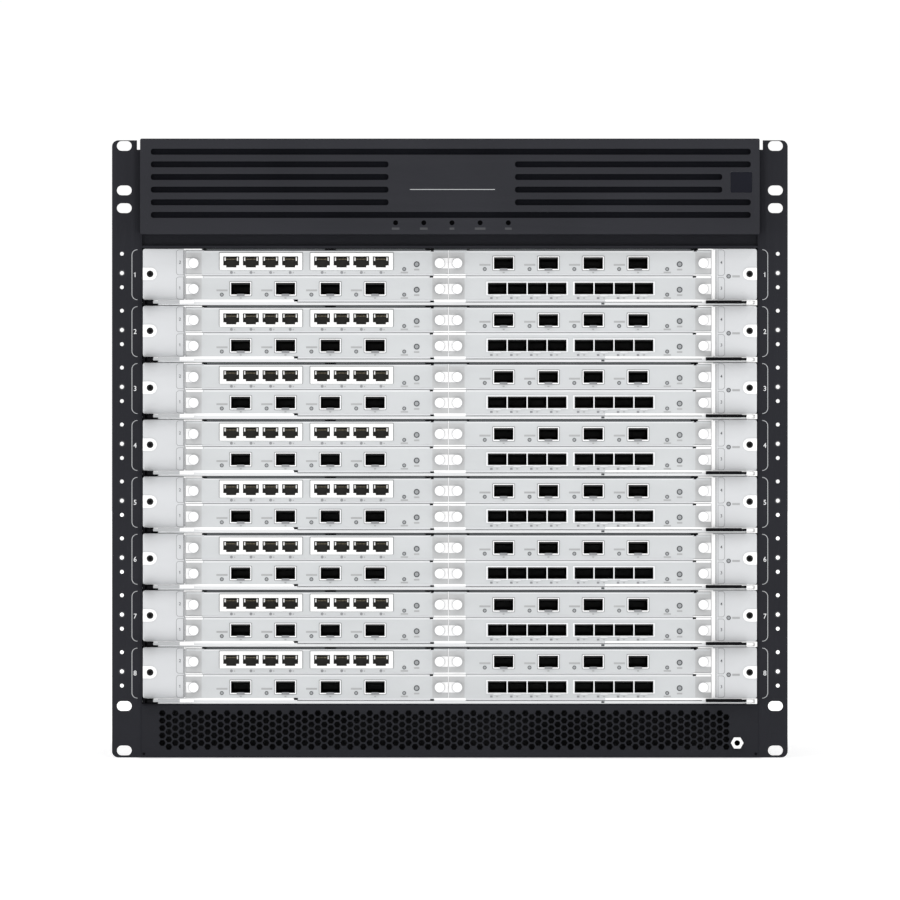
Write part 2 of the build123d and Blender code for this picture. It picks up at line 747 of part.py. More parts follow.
os.makedirs("parts", exist_ok=True)
for name, shape in build().items():
    export_step(shape, f"parts/{name}.step")
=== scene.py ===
# %% [markdown]
# A modular core router in Blender
#
# The real object is a ten-unit rack chassis. Eight line cards slide into its front, and four
# interface modules slide into each card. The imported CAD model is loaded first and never
# changed. Pieces with finer shapes are then modelled over it, each one riding on the body of
# the CAD node that it stands for, so that everything still slides and turns.

# %% Load the frame
import math

import bpy
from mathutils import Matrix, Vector


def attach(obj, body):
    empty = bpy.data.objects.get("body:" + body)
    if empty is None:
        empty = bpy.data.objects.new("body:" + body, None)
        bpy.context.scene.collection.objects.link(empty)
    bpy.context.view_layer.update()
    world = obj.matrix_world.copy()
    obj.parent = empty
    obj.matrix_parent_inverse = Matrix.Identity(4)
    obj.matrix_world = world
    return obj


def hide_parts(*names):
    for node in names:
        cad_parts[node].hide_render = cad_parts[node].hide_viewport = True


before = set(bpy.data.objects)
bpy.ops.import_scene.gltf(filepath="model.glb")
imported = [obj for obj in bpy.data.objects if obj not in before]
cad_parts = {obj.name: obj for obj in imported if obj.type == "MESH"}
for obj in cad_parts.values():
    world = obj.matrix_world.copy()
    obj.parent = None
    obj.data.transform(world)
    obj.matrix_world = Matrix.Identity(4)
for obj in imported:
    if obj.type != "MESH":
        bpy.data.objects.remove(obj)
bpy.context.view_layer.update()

# %% [markdown]
# Every size below is in millimetres, as on a maker's drawing, and MM turns it into Blender's
# metres. The heights of a card are counted from the middle of its plate, because the eight
# cards are alike and only their slot differs. HALF in a name means half of that width or height.

# %% Sizes shared by many pieces
MM = 0.001
FRONT = -280.0
BACK = 280.0
SLOTS = range(1, 9)
SLOT_PITCH = 40.65
LOWEST_SLOT = 60.5
CARD_HALF = 219.3
PLATE_HALF = 18.25
BAY_LEFT = -188.8
BAY_RIGHT = 186.8
MODULE_HALF_WIDE = 93.6
MODULE_HALF_HIGH = 8.4125
UPPER_Z = 8.6875
LOWER_Z = -9.5375
LEFT_X = -94.9
RIGHT_X = 92.9


def slot_z(slot):
    return LOWEST_SLOT + (len(SLOTS) - slot) * SLOT_PITCH


print("slot heights", [round(slot_z(slot), 2) for slot in SLOTS])

# %% [markdown]
# Hand tools come before the pieces. Each helper adds a primitive at its place, or works on the
# mesh in edit mode, and leaves the object at the origin with its place in its mesh. That is
# what the materials need too, because their patterns are laid out in object coordinates.
# Meshes could also be typed in point by point, but a primitive shows what it is.


# %% Select and settle
def alone(*pieces):
    """Selects these objects only, and makes the first one active."""
    bpy.ops.object.select_all(action="DESELECT")
    for piece in pieces:
        piece.select_set(True)
    bpy.context.view_layer.objects.active = pieces[0]


def settle(piece):
    """Moves a piece's place, turn and size into its mesh."""
    alone(piece)
    bpy.ops.object.transform_apply(location=True, rotation=True, scale=True)
    return piece


# %% Blocks and rods
def painted(paint):
    """Paints and settles the primitive that was just added."""
    piece = bpy.context.object
    piece.data.materials.append(paint)
    return settle(piece)


def block(x, y, z, paint):
    """A cuboid between the low and high places given in each direction."""
    bpy.ops.object.select_all(action="DESELECT")
    middle = [(low + high) / 2 * MM for low, high in (x, y, z)]
    bpy.ops.mesh.primitive_cube_add(size=MM, location=middle)
    bpy.context.object.scale = [high - low for low, high in (x, y, z)]
    return painted(paint)


def rod(x, z, radius, y, paint, sides=24, turn=0.0):
    """A cylinder or prism along the depth of the chassis."""
    bpy.ops.object.select_all(action="DESELECT")
    bpy.ops.mesh.primitive_cylinder_add(
        vertices=sides,
        radius=radius * MM,
        depth=(y[1] - y[0]) * MM,
        location=(x * MM, (y[0] + y[1]) / 2 * MM, z * MM),
        rotation=(math.pi / 2, turn, 0),
    )
    return painted(paint)


# %% Edges picked by their place
NEAR = 1e-6
CORNER_SHARE = 0.995


def pick_edges(piece, wanted):
    """Opens edit mode with only the edges selected whose two ends pass the test."""
    alone(piece)
    bpy.ops.object.mode_set(mode="EDIT")
    bpy.ops.mesh.select_mode(type="EDGE")
    bpy.ops.mesh.select_all(action="DESELECT")
    bpy.ops.object.mode_set(mode="OBJECT")
    points = piece.data.vertices
    for edge in piece.data.edges:
        a, b = (points[i].co for i in edge.vertices)
        edge.select = wanted(a, b)
    bpy.ops.object.mode_set(mode="EDIT")


def along_depth(a, b):
    return abs(a.x - b.x) < NEAR and abs(a.z - b.z) < NEAR


def rounded(x, y, z, radius, paint, steps=6, side=None):
    """A block with rounded corners as seen from the front, on one side or on both."""
    piece = block(x, y, z, paint)
    middle = (x[0] + x[1]) / 2 * MM

    def wanted(a, b):
        right = a.x > middle
        return along_depth(a, b) and (side is None or right == (side == "right"))

    pick_edges(piece, wanted)
    # A little less than the radius, so that the corners of a round end never meet in a point.
    bpy.ops.mesh.bevel(offset=radius * MM * CORNER_SHARE, segments=steps, affect="EDGES")
    bpy.ops.object.mode_set(mode="OBJECT")
    return piece


# %% [markdown]
# A hole could be made by deleting faces and bridging their edges, but a Boolean modifier takes
# any shape of tool, and it is applied at once. A Bevel modifier rounds only the edges that are
# sharper than an angle. What repeats is modelled once and copied, each copy with its own mesh.


# %% Join and cut
def join(pieces, name=None):
    """Makes one piece of several, with all their paints."""
    alone(*pieces)
    bpy.ops.object.join()
    piece = bpy.context.object
    if name:
        piece.name = piece.data.name = name
    return piece


def cut(piece, tools, overlapping=False):
    """Cuts shapes out of a piece. The cut faces take the tools' paint. The tools don't overlap
    each other, and overlapping says whether the piece's own parts do."""
    tool = join(tools)
    change = piece.modifiers.new("cut", "BOOLEAN")
    change.operation = "DIFFERENCE"
    change.solver = "EXACT"
    change.use_self = overlapping
    change.material_mode = "TRANSFER"
    change.object = tool
    alone(piece)
    bpy.ops.object.modifier_apply(modifier=change.name)
    bpy.data.objects.remove(tool)
    return piece


# %% Soften and smooth
def soften(piece, width, steps=1, angle=50):
    """Breaks the sharp edges, as paint and deburring do, so that they catch the light."""
    change = piece.modifiers.new("soften", "BEVEL")
    change.width = width * MM
    change.segments = steps
    change.limit_method = "ANGLE"
    change.angle_limit = math.radians(angle)
    alone(piece)
    bpy.ops.object.modifier_apply(modifier=change.name)
    return piece


def smooth(piece, angle=35):
    """Shades round faces as one surface and leaves edges sharper than the angle alone."""
    alone(piece)
    bpy.ops.object.shade_smooth_by_angle(angle=math.radians(angle))
    return piece


# %% Repeat, move and copy
def repeated(tool, columns, rows, pitch):
    """Repeats a tool to the right and upwards, with an array modifier each way."""
    for name, count, step in (("across", columns, (pitch[0], 0, 0)), ("up", rows, (0, 0, pitch[1]))):
        change = tool.modifiers.new(name, "ARRAY")
        change.count = count
        change.use_relative_offset = False
        change.use_constant_offset = True
        change.constant_offset_displace = [v * MM for v in step]
        alone(tool)
        bpy.ops.object.modifier_apply(modifier=change.name)
    return tool


def moved(piece, x=0.0, y=0.0, z=0.0):
    piece.location = (x * MM, y * MM, z * MM)
    return settle(piece)


def copied(piece, name=None, x=0.0, z=0.0):
    """A copy with its own mesh, at its own place."""
    alone(piece)
    bpy.ops.object.duplicate(linked=False)
    twin = bpy.context.object
    if name:
        twin.name = twin.data.name = name
    return moved(twin, x=x, z=z)


def mirrored(piece):
    """A copy on the other side of the middle, with its faces turned the right way out."""
    twin = copied(piece)
    twin.scale.x = -1
    settle(twin)
    bpy.ops.object.mode_set(mode="EDIT")
    bpy.ops.mesh.select_all(action="SELECT")
    bpy.ops.mesh.normals_make_consistent(inside=False)
    bpy.ops.object.mode_set(mode="OBJECT")
    return twin


# %% Hand a finished piece over
def place(piece, body, node):
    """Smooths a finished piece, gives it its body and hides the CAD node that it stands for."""
    smooth(piece)
    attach(piece, body)
    if node:
        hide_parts(node)


# %% [markdown]
# The finishes come next. Nearly everything on such a chassis is painted or plated sheet metal.
# A flat colour looks like plastic film, so each finish gets clouds of slightly different tone,
# a roughness that wanders, and a fine bump: grains for powder coat, long streaks for brushed
# metal. One recipe makes them all, with the sizes of its grain and streaks as its values.


# %% A recipe for a finish
def finish(name, colour, rough, metal=0.0, gloss=0.5, vary=0.08, grain=900.0,
           bump=0.05, streak=(1.0, 1.0, 1.0), wander=0.08):
    """A paint, plating or plastic with tone clouds, wandering gloss and a fine bump."""
    paint = bpy.data.materials.new(name)
    paint.use_nodes = True
    nodes, links = paint.node_tree.nodes, paint.node_tree.links
    shader = nodes["Principled BSDF"]
    place_node = nodes.new("ShaderNodeTexCoord")
    mapping = nodes.new("ShaderNodeMapping")
    mapping.inputs["Scale"].default_value = streak
    links.new(place_node.outputs["Object"], mapping.inputs["Vector"])

    clouds = nodes.new("ShaderNodeTexNoise")
    clouds.inputs["Scale"].default_value = 14.0
    clouds.inputs["Detail"].default_value = 5.0
    links.new(mapping.outputs["Vector"], clouds.inputs["Vector"])
    tone = nodes.new("ShaderNodeValToRGB")
    tone.color_ramp.elements[0].position = 0.3
    tone.color_ramp.elements[1].position = 0.7
    low = [max(0.0, c * (1 - vary)) for c in colour]
    high = [min(1.0, c * (1 + vary)) for c in colour]
    tone.color_ramp.elements[0].color = (*low, 1)
    tone.color_ramp.elements[1].color = (*high, 1)
    links.new(clouds.outputs["Fac"], tone.inputs["Fac"])
    links.new(tone.outputs["Color"], shader.inputs["Base Color"])

    grains = nodes.new("ShaderNodeTexNoise")
    grains.inputs["Scale"].default_value = grain
    grains.inputs["Detail"].default_value = 2.0
    links.new(mapping.outputs["Vector"], grains.inputs["Vector"])
    gloss_range = nodes.new("ShaderNodeMapRange")
    gloss_range.inputs["To Min"].default_value = max(0.02, rough - wander)
    gloss_range.inputs["To Max"].default_value = min(1.0, rough + wander)
    links.new(grains.outputs["Fac"], gloss_range.inputs["Value"])
    links.new(gloss_range.outputs["Result"], shader.inputs["Roughness"])
    relief = nodes.new("ShaderNodeBump")
    relief.inputs["Strength"].default_value = bump
    relief.inputs["Distance"].default_value = 0.0004
    links.new(grains.outputs["Fac"], relief.inputs["Height"])
    links.new(relief.outputs["Normal"], shader.inputs["Normal"])

    shader.inputs["Metallic"].default_value = metal
    shader.inputs["Specular IOR Level"].default_value = gloss
    return paint


# %% The finishes of this chassis
coat = finish("charcoal powder coat", (0.0175, 0.018, 0.0225), 0.55, gloss=0.10,
              grain=1500, bump=0.25)
# The shell's coat is the charcoal coat made darker: painted shade for the band under the fascia's
# overhang.
shade_darkened_shell_coat = finish("charcoal powder coat darkened as painted shade", (0.0135, 0.014, 0.018), 0.55, gloss=0.10,
                    grain=1500, bump=0.25)
bezel = finish("charcoal bezel paint", (0.022, 0.0225, 0.0275), 0.5, gloss=0.12,
               grain=1100, bump=0.12)
grille_coat = finish("dark grille paint", (0.018, 0.0185, 0.0225), 0.6, gloss=0.08, bump=0.2)
pad_paint = finish("dark pad", (0.0095, 0.010, 0.015), 0.6, gloss=0.06, bump=0.1)
groove_dark = finish("groove shadow", (0.0085, 0.009, 0.012), 0.9, gloss=0.05, vary=0.2)
pit = finish("unlit inside", (0.004, 0.004, 0.005), 0.9, gloss=0.05, vary=0.3)
jack_inside = finish("dark jack moulding", (0.095, 0.093, 0.086), 0.6, gloss=0.15, vary=0.15)
module_paint = finish("light grey module paint", (0.565, 0.58, 0.59), 0.42, gloss=0.25,
                      vary=0.03, grain=700, bump=0.03, streak=(1, 1, 4))
face_paint = finish("light grey satin paint", (0.62, 0.63, 0.645), 0.42, gloss=0.25,
                    vary=0.03, grain=700, bump=0.03, streak=(1, 1, 4))
plating = finish("bright nickel-white plating", (0.95, 0.95, 0.95), 0.35, gloss=0.5,
                 vary=0.02, grain=600, bump=0.02)
shade_grey = finish("shaded flange grey", (0.46, 0.47, 0.48), 0.5, gloss=0.3, vary=0.06)
seam_dark = finish("seam shadow grey", (0.085, 0.09, 0.095), 0.7, gloss=0.1, vary=0.15)
outline = finish("thin printed outline", (0.27, 0.275, 0.285), 0.6, gloss=0.2, vary=0.06)
recess_grey = finish("recess shade grey", (0.495, 0.50, 0.505), 0.5, gloss=0.2, vary=0.04)
# Pale grey for the tray's lip and the ganged cages' latch tabs, and the painted highlight on the
# modules' top bevels.
pale_paint_and_highlight = finish("pale paint and painted highlight", (0.69, 0.70, 0.71), 0.45, gloss=0.3, vary=0.03)
caption_grey = finish("pale caption print", (0.40, 0.405, 0.41), 0.6, gloss=0.15, vary=0.06)
print_white = finish("white silk print", (0.75, 0.76, 0.77), 0.6, gloss=0.2, vary=0.05)
print_dim = finish("dim silk print", (0.42, 0.43, 0.44), 0.6, gloss=0.2, vary=0.05)
# Faint print for the lamps' labels, and painted light for the halos round the ears' holes.
faint_print_and_halo_light = finish("faint silk print and painted halo light", (0.06, 0.061, 0.066), 0.6, gloss=0.15, vary=0.08)
jack_white = finish("white moulded jack", (0.93, 0.93, 0.92), 0.4, gloss=0.4, vary=0.02)
cage_steel = finish("nickel cage sheet", (0.80, 0.81, 0.82), 0.34, metal=0.25, vary=0.04,
                    streak=(1, 6, 1))
socket_black = finish("black socket moulding", (0.012, 0.012, 0.0115), 0.55, gloss=0.2,
                      vary=0.25)
# The nickel cages' inner walls are near black: painted shade, as little light reaches in.
painted_cage_shade = finish("painted shade inside cages", (0.034, 0.034, 0.033), 0.55, gloss=0.15, vary=0.2)
contact_gold = finish("gold contact in shade", (0.26, 0.22, 0.14), 0.4, metal=0.3, vary=0.1)
zinc = finish("zinc-plated sheet", (0.60, 0.61, 0.62), 0.4, metal=0.7, vary=0.08,
              grain=500, bump=0.05, streak=(8, 1, 8))
board = finish("green board lacquer", (0.015, 0.10, 0.045), 0.35, vary=0.2, grain=1200)
chip_black = finish("black chip moulding", (0.015, 0.015, 0.016), 0.5, vary=0.2)
sink = finish("anodised heat sink", (0.35, 0.36, 0.38), 0.4, metal=0.6, streak=(6, 1, 6))
lever_black = finish("black moulded lever", (0.004, 0.004, 0.005), 0.6, gloss=0.06, vary=0.2)
lever_grey = finish("light grey moulded lever", (0.40, 0.41, 0.42), 0.5, vary=0.06)
lamp_grey = finish("unlit grey lamp", (0.30, 0.31, 0.32), 0.3, vary=0.08)
foam = finish("open-cell foam", (0.012, 0.012, 0.013), 0.95, gloss=0.05, vary=0.5,
              grain=1800, bump=0.9)
fan_black = finish("black fan plastic", (0.013, 0.013, 0.014), 0.45, gloss=0.3, vary=0.15)
print("finishes", len(bpy.data.materials))

# %% [markdown]
# The CAD nodes that have no finer piece keep their own shape and only get a finish. They are
# the plain sheet parts: the shell, the guides, the midplane, the filter, the rear frame and
# the lamps' cups. Modelling them again would add nothing that can be seen.

# %% Finishes for the CAD nodes
# The shell takes the darker coat, which is painted shade.
NODE_FINISH = {
    "chassis_shell": shade_darkened_shell_coat, "card_guides": zinc, "midplane": board, "air_filter": foam,
    "status_lamps": pit, "rear_frame": zinc,
}
for name, paint in NODE_FINISH.items():
    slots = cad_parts[name].material_slots
    for slot in slots:
        slot.material = paint
print("painted CAD nodes", len(NODE_FINISH))

# %% [markdown]
# A module is a flat closed case with a face plate. All four kinds share the case, the two
# thumbscrews on their white tabs, the run lamp and the recessed button. Sockets could be dark
# patches on the face, but a plug goes into a real one. So the case is one block whose sockets
# are cut out, with a dark finish on the cut faces: the jacks' dark moulding, and painted shade
# inside the nickel cages.


# %% Thumbscrews and lamps
KNOB_RADIUS = 3.5
KNOB_X = 87.6
OUTER_KNOB_X = 88.1
UPPER_KNOB_Z = -0.7
LOWER_KNOB_Z = -0.9


def patch(x, z, paint, proud=0.05):
    """A thin layer on the front: a print, a strip of another metal or the shade of a seam."""
    return block(x, (FRONT - proud, FRONT), z, paint)


def thumbscrew(side, lower, outer):
    """A round knob ringed with thin painted shade, on a white tab that reaches to the edge of the face.
    """
    x = side * (OUTER_KNOB_X if side == outer else KNOB_X)
    z = LOWER_KNOB_Z if lower else UPPER_KNOB_Z
    knob = rod(x, z, KNOB_RADIUS, (FRONT - 6.0, FRONT - 1.6), plating, sides=36)
    soften(knob, 0.35, 2, 40)
    # A grey ring a little wider than the knob, behind it, is painted shade round the knob's edge.
    shade_ring = rod(x, z, KNOB_RADIUS + 0.3, (FRONT - 1.75, FRONT - 1.45), shade_grey, sides=32)
    stem = rod(x, z, 2.2, (FRONT - 1.6, FRONT), recess_grey, sides=20)
    edges = sorted((x + side * 1.0, side * MODULE_HALF_WIDE))
    tab = block(edges, (FRONT - 0.8, FRONT - 0.02), (z - 3.7, z + 3.7), plating)
    soften(tab, 0.2, 2)
    beside = sorted((side * 82.4, side * (MODULE_HALF_WIDE - 0.2)))
    shade = patch(beside, (-8.2, 6.8), recess_grey, 0.03)
    return [knob, shade_ring, stem, tab, shade]


def ring_lamp(x, z, radius):
    """A lamp or button: a dark ring with a paler disc inside it."""
    ring = rod(x, z, radius, (FRONT - 0.12, FRONT + 0.1), seam_dark, sides=20)
    disc = rod(x, z, radius * 0.66, (FRONT - 0.2, FRONT), lamp_grey, sides=16)
    return [ring, disc]


print("thumbscrews", 2 * KNOB_RADIUS, "mm wide")


# %% The case and what is on every face
MODULE_DEEP = 198
RUN_LAMP = (62.3, -4.95)
BUTTON = (71.2, -1.45)


def module_case(openings, inside=painted_cage_shade):
    """The closed case, with its sockets cut to their depth."""
    case = block((-MODULE_HALF_WIDE, MODULE_HALF_WIDE), (FRONT, FRONT + MODULE_DEEP),
                 (-MODULE_HALF_HIGH, MODULE_HALF_HIGH), module_paint)
    tools = [block(x, (FRONT - 1, FRONT + depth), z, inside) for x, z, depth in openings]
    cut(case, tools)
    return soften(case, 0.2, 1)


def caption(x, z):
    """Where the real face has small lettering: a pale field of the same size."""
    return patch(x, z, caption_grey)


def shared_parts(lower, outer):
    """Thumbscrews, lamps and the strips of painted highlight and shadow along the top edge,
    which differ by the bay.
    """
    parts = thumbscrew(-1, lower, outer) + thumbscrew(1, lower, outer)
    parts += ring_lamp(*RUN_LAMP, 1.4) + ring_lamp(*BUTTON, 2.1)
    parts += [caption((59.8, 65.0), (-7.9, -6.8)), caption((69.3, 73.1), (-5.9, -4.7))]
    edge = (-MODULE_HALF_WIDE + 13, MODULE_HALF_WIDE - 13)
    top = MODULE_HALF_HIGH
    # The pale strips along the top are painted highlight on the case's top bevel. On a lower module the
    # white strips at the ends are painted highlight too, and on an upper one the dark line at the very
    # top is painted shadow.
    if lower:
        for side in (-1, 1):
            ends = sorted((side * 81.6, side * MODULE_HALF_WIDE))
            parts.append(patch(ends, (top - 1.5, top - 0.05), plating, 0.1))
        parts.append(patch((80.6, 83.0), (top - 1.2, top - 0.1), pit, 0.14))
        parts.append(patch(edge, (top - 1.5, top - 0.3), pale_paint_and_highlight, 0.06))
        return parts
    parts.append(patch(edge, (top - 0.35, top), seam_dark, 0.08))
    parts.append(patch(edge, (top - 1.4, top - 0.5), pale_paint_and_highlight, 0.06))
    parts.append(patch((81.3, 83.3), (top - 0.8, top), pit, 0.14))
    return parts


print("module face", 2 * MODULE_HALF_WIDE, "by", 2 * MODULE_HALF_HIGH, "mm")


# %% [markdown]
# The jack module carries two white blocks of four network jacks. A jack's opening is wide for
# the plug and narrower below for its latch. It could be drawn as one T-shaped outline, but a
# wide block and a narrow one, cut one after the other, give the same T. Inside are eight gold
# contacts and a pale lamp window in each upper corner.


# %% The jack module
JACK_HALF = 5.7
LATCH_HALF = 3.6
JACK_Z = (-3.75, 4.25)
JACK_DEEP = 15.0
JACK_PITCH = 14.0
JACK_ROWS = (-40.2, 24.6)
CONTACT_PITCH = 1.02


def four_in_a_row(middle, pitch):
    return [middle + (i - 1.5) * pitch for i in range(4)]


def jack_opening(x):
    """What a jack holds: contacts, lamp windows, the shoulders beside the latch and a back."""
    parts = []
    for i in range(8):
        at = x + (i - 3.5) * CONTACT_PITCH
        parts.append(block((at - 0.22, at + 0.22), (FRONT + 2.2, FRONT + 9), (1.8, 2.5), contact_gold))
    for side in (-1, 1):
        at = x + side * 4.45
        parts.append(block((at - 0.45, at + 0.45), (FRONT + 0.3, FRONT + 1.2), (1.0, 3.5), jack_white))
        shoulder = sorted((x + side * LATCH_HALF, x + side * JACK_HALF))
        parts.append(block(shoulder, (FRONT + 0.2, FRONT + 3), (JACK_Z[0], -2.5), jack_inside))
    wide = (x - JACK_HALF, x + JACK_HALF)
    parts.append(block(wide, (FRONT + 9, FRONT + 10), JACK_Z, jack_inside))
    return parts


def jack_block(middle, xs):
    """A white block with four T-shaped openings, raised from the face."""
    z = (-5.5, 6.7)
    frame_block = rounded((middle - 29.3, middle + 29.7), (FRONT - 1.2, FRONT), z, 0.4, jack_white, 3)
    for half, tall in ((JACK_HALF, (-2.3, 4.1)), (LATCH_HALF, (JACK_Z[0], -1.4))):
        cut(frame_block, [block((x - half, x + half), (FRONT - 2, FRONT + 1), tall, jack_inside)
                          for x in xs])
    soften(frame_block, 0.15, 1)
    edge = rounded((middle - 29.8, middle + 30.2), (FRONT - 0.15, FRONT), (z[0] - 0.1, z[1] + 0.5),
                   0.5, outline, 3)
    cut(edge, [block((middle - 29, middle + 29), (FRONT - 1, FRONT + 1), (z[0] + 0.3, z[1] - 0.3),
                     outline)])
    return [frame_block, edge]


def jack_module():
    xs = [x for row in JACK_ROWS for x in four_in_a_row(row, JACK_PITCH)]
    case = module_case([((x - JACK_HALF, x + JACK_HALF), JACK_Z, JACK_DEEP) for x in xs],
                       jack_inside)
    parts = [case] + shared_parts(lower=False, outer=-1)
    for row in JACK_ROWS:
        four = four_in_a_row(row, JACK_PITCH)
        parts += jack_block(row, four)
        for x in four:
            parts += jack_opening(x)
            parts.append(rod(x + 0.1, -7.33, 1.05, (FRONT - 0.12, FRONT + 0.1), outline, sides=12))
            parts.append(patch((x + 1.8, x + 2.8), (-7.9, -7.0), caption_grey, 0.06))
    return join(parts, "jack module")


jacks = jack_module()
print("jack module faces", len(jacks.data.polygons))

# %% [markdown]
# Two kinds of optical module follow. A cage is a nickel box that takes a transceiver. Its rim
# stands a little proud of the face, with a latch tab under the middle. The wide kind has four
# single cages, and the ganged kind has two rows of four that share thin walls. A rim could be
# an inset of the face, but it is sheet of its own, so it is a separate block, cut open.


# %% One optical cage
CAGE_DEEP = 45.0


def latch_tab(x, z, paint):
    """The tongue at the foot of a cage that holds the transceiver's catch."""
    tab = rounded((x - 2.8, x + 2.8), (FRONT - 1.5, FRONT - 0.2), z, 0.5, paint, 2)
    return soften(tab, 0.12, 1)


def cage_inside(x, z, half):
    """A spring leaf at the top, and the connector at the back."""
    leaf = (x - half + 0.4, x + half - 0.4)
    connector = (x - half + 1.2, x + half - 1.2)
    return [
        block(leaf, (FRONT + 1.5, FRONT + 9), (z + 2.75, z + 3.6), chip_black),
        block(connector, (FRONT + 38, FRONT + 44), (z - 2.4, z + 1.2), chip_black),
    ]


print("cage depth", CAGE_DEEP, "mm")


# %% The module with four single cages
WIDE_HALF = 6.9
WIDE_MIDDLE = -6.5
WIDE_PITCH = 32.0


def wide_module(lower):
    xs = four_in_a_row(WIDE_MIDDLE, WIDE_PITCH)
    z = -0.35
    tall = (z - 4.5, z + 3.9)
    case = module_case([((x - WIDE_HALF, x + WIDE_HALF), tall, CAGE_DEEP) for x in xs])
    parts = [case] + shared_parts(lower, outer=-1 if lower else 1)
    for x in xs:
        rim = rounded((x - 7.6, x + 7.6), (FRONT - 0.9, FRONT), (z - 5.3, z + 4.5), 0.5, plating, 3)
        cut(rim, [block((x - WIDE_HALF, x + WIDE_HALF), (FRONT - 2, FRONT + 1), tall, painted_cage_shade)])
        soften(rim, 0.15, 1)
        edge = rounded((x - 8.1, x + 8.1), (FRONT - 0.12, FRONT), (z - 5.75, z + 4.95), 0.6, outline, 3)
        cut(edge, [block((x - 7.5, x + 7.5), (FRONT - 1, FRONT + 1), (z - 5.0, z + 4.4), outline)])
        parts += [rim, edge, latch_tab(x, (z - 5.6, z - 4.05), outline)]
        parts += cage_inside(x, z, WIDE_HALF)
        parts += ring_lamp(x - 13.5, z - 4.6, 1.4)
        parts.append(caption((x - 17.3, x - 9.4), (z - 2.2, z - 0.9)))
        parts.append(caption((x - 0.7, x + 0.7), (z - 7.5, z - 6.6)))
    return join(parts, "wide cage module")


low_wides = wide_module(lower=True)
high_wides = wide_module(lower=False)
print("wide module faces", len(low_wides.data.polygons), len(high_wides.data.polygons))


# %% The module with ganged cages
GANG_HALF = 6.7
GANG_PITCH = 14.25
GANG_ROWS = (-37.7, 24.3)


def ganged_module():
    z = -0.1
    tall = (z - 4.6, z + 3.7)
    parts = []
    openings = []
    for row in GANG_ROWS:
        four = four_in_a_row(row, GANG_PITCH)
        sides = [(x - GANG_HALF, x + GANG_HALF) for x in four]
        openings += [(side, tall, CAGE_DEEP) for side in sides]
        rim = rounded((row - 29.3, row + 29.3), (FRONT - 0.8, FRONT), (z - 5.3, z + 4.6), 0.5,
                      cage_steel, 3)
        cut(rim, [block(side, (FRONT - 2, FRONT + 1), tall, painted_cage_shade) for side in sides])
        soften(rim, 0.12, 1)
        parts.append(rim)
        for x in four:
            parts.append(latch_tab(x, (z - 6.1, z - 4.55), pale_paint_and_highlight))
            parts += cage_inside(x, z, GANG_HALF)
            parts.append(patch((x - 5.1, x - 3.3), (z - 8.0, z - 6.6), outline, 0.12))
            parts.append(caption((x - 0.7, x + 0.7), (z - 7.7, z - 6.9)))
    case = module_case(openings)
    return join([case] + parts + shared_parts(lower=True, outer=1), "ganged cage module")


gangs = ganged_module()
print("ganged module faces", len(gangs.data.polygons))

# %% Put the modules in their bays
KINDS = {
    "upper_left": (jacks, LEFT_X, UPPER_Z),
    "lower_left": (low_wides, LEFT_X, LOWER_Z),
    "upper_right": (high_wides, RIGHT_X, UPPER_Z),
    "lower_right": (gangs, RIGHT_X, LOWER_Z),
}
for slot in SLOTS:
    for where, (kind, x, z) in KINDS.items():
        node = f"module_{slot}_{where}"
        piece = copied(kind, f"{node}_piece", x=x, z=slot_z(slot) + z)
        place(piece, node, node)
for kind in (jacks, low_wides, high_wides, gangs):
    bpy.data.objects.remove(kind)
print("modules placed", len(SLOTS) * len(KINDS))

# %% [markdown]
# A line card is a long tray. Its plate closes the slot at both ends, and between them a walled
# box holds the four modules. Behind the box is the main board, with its chips, heat sinks and
# the plug that meets the midplane. Eight cards could be built in a loop, but they are alike, so
# one is modelled and copied into every slot, which is quicker and keeps them alike.
#
# Its small digits could be drawn stroke by stroke. A text object gives plain figures at once,
# and it is made a mesh, so that it can be joined to the plate. Its 1 is a bare stroke, so a
# short flag is added, as on most printed figures.


# %% Plain digits
FONT_PER_HEIGHT = 1.42
PRINT_Y = FRONT - 0.07


def numeral(digit, x, z, height, paint):
    """A plain digit as a thin print on a face that looks forward."""
    bpy.ops.object.select_all(action="DESELECT")
    bpy.ops.object.text_add(location=(0, 0, 0))
    word = bpy.context.object
    word.data.body = str(digit)
    word.data.align_x = "CENTER"
    word.data.align_y = "CENTER"
    word.data.size = height * FONT_PER_HEIGHT * MM
    word.data.extrude = 0.03 * MM
    word.data.offset = 0.008 * height * MM
    alone(word)
    bpy.ops.object.convert(target="MESH")
    word = bpy.context.object
    word.data.materials.clear()
    word.data.materials.append(paint)
    word.scale = (0.95, 1, 1)
    if digit == 1:
        word = settle(word)
        word = join([word, one_flag(height, paint)])
    word.rotation_euler = (math.pi / 2, 0, 0)
    word.location = (x * MM, PRINT_Y * MM, z * MM)
    return settle(word)


def one_flag(height, paint):
    """The small stroke at the top left of a 1, which the plain font leaves out."""
    flag = block((-0.16 * height, 0.16 * height), (-0.06 * height, 0.06 * height), (-0.03, 0.03),
                 paint)
    flag.rotation_euler = (0, 0, math.radians(38))
    flag.location = (-0.10 * height * MM, 0.36 * height * MM, 0)
    return settle(flag)


print("digits stand", round(FRONT - PRINT_Y, 2), "mm proud")


# %% Number cells and captive screws
SCREW_X = 214.1
SCREW_Z = 0.3


def number_cell(x, z, digit, side):
    """A thin printed outline with a small plain number, which says which bay is which."""
    ring = rounded(x, (PRINT_Y, FRONT), z, 2.0, outline, 5, side)
    inner = rounded((x[0] + 0.28, x[1] - 0.28), (FRONT - 1, FRONT + 1), (z[0] + 0.28, z[1] - 0.28),
                    1.8, outline, 5, side)
    cut(ring, [inner])
    return [ring, numeral(digit, (x[0] + x[1]) / 2, (z[0] + z[1]) / 2, 2.2, seam_dark)]


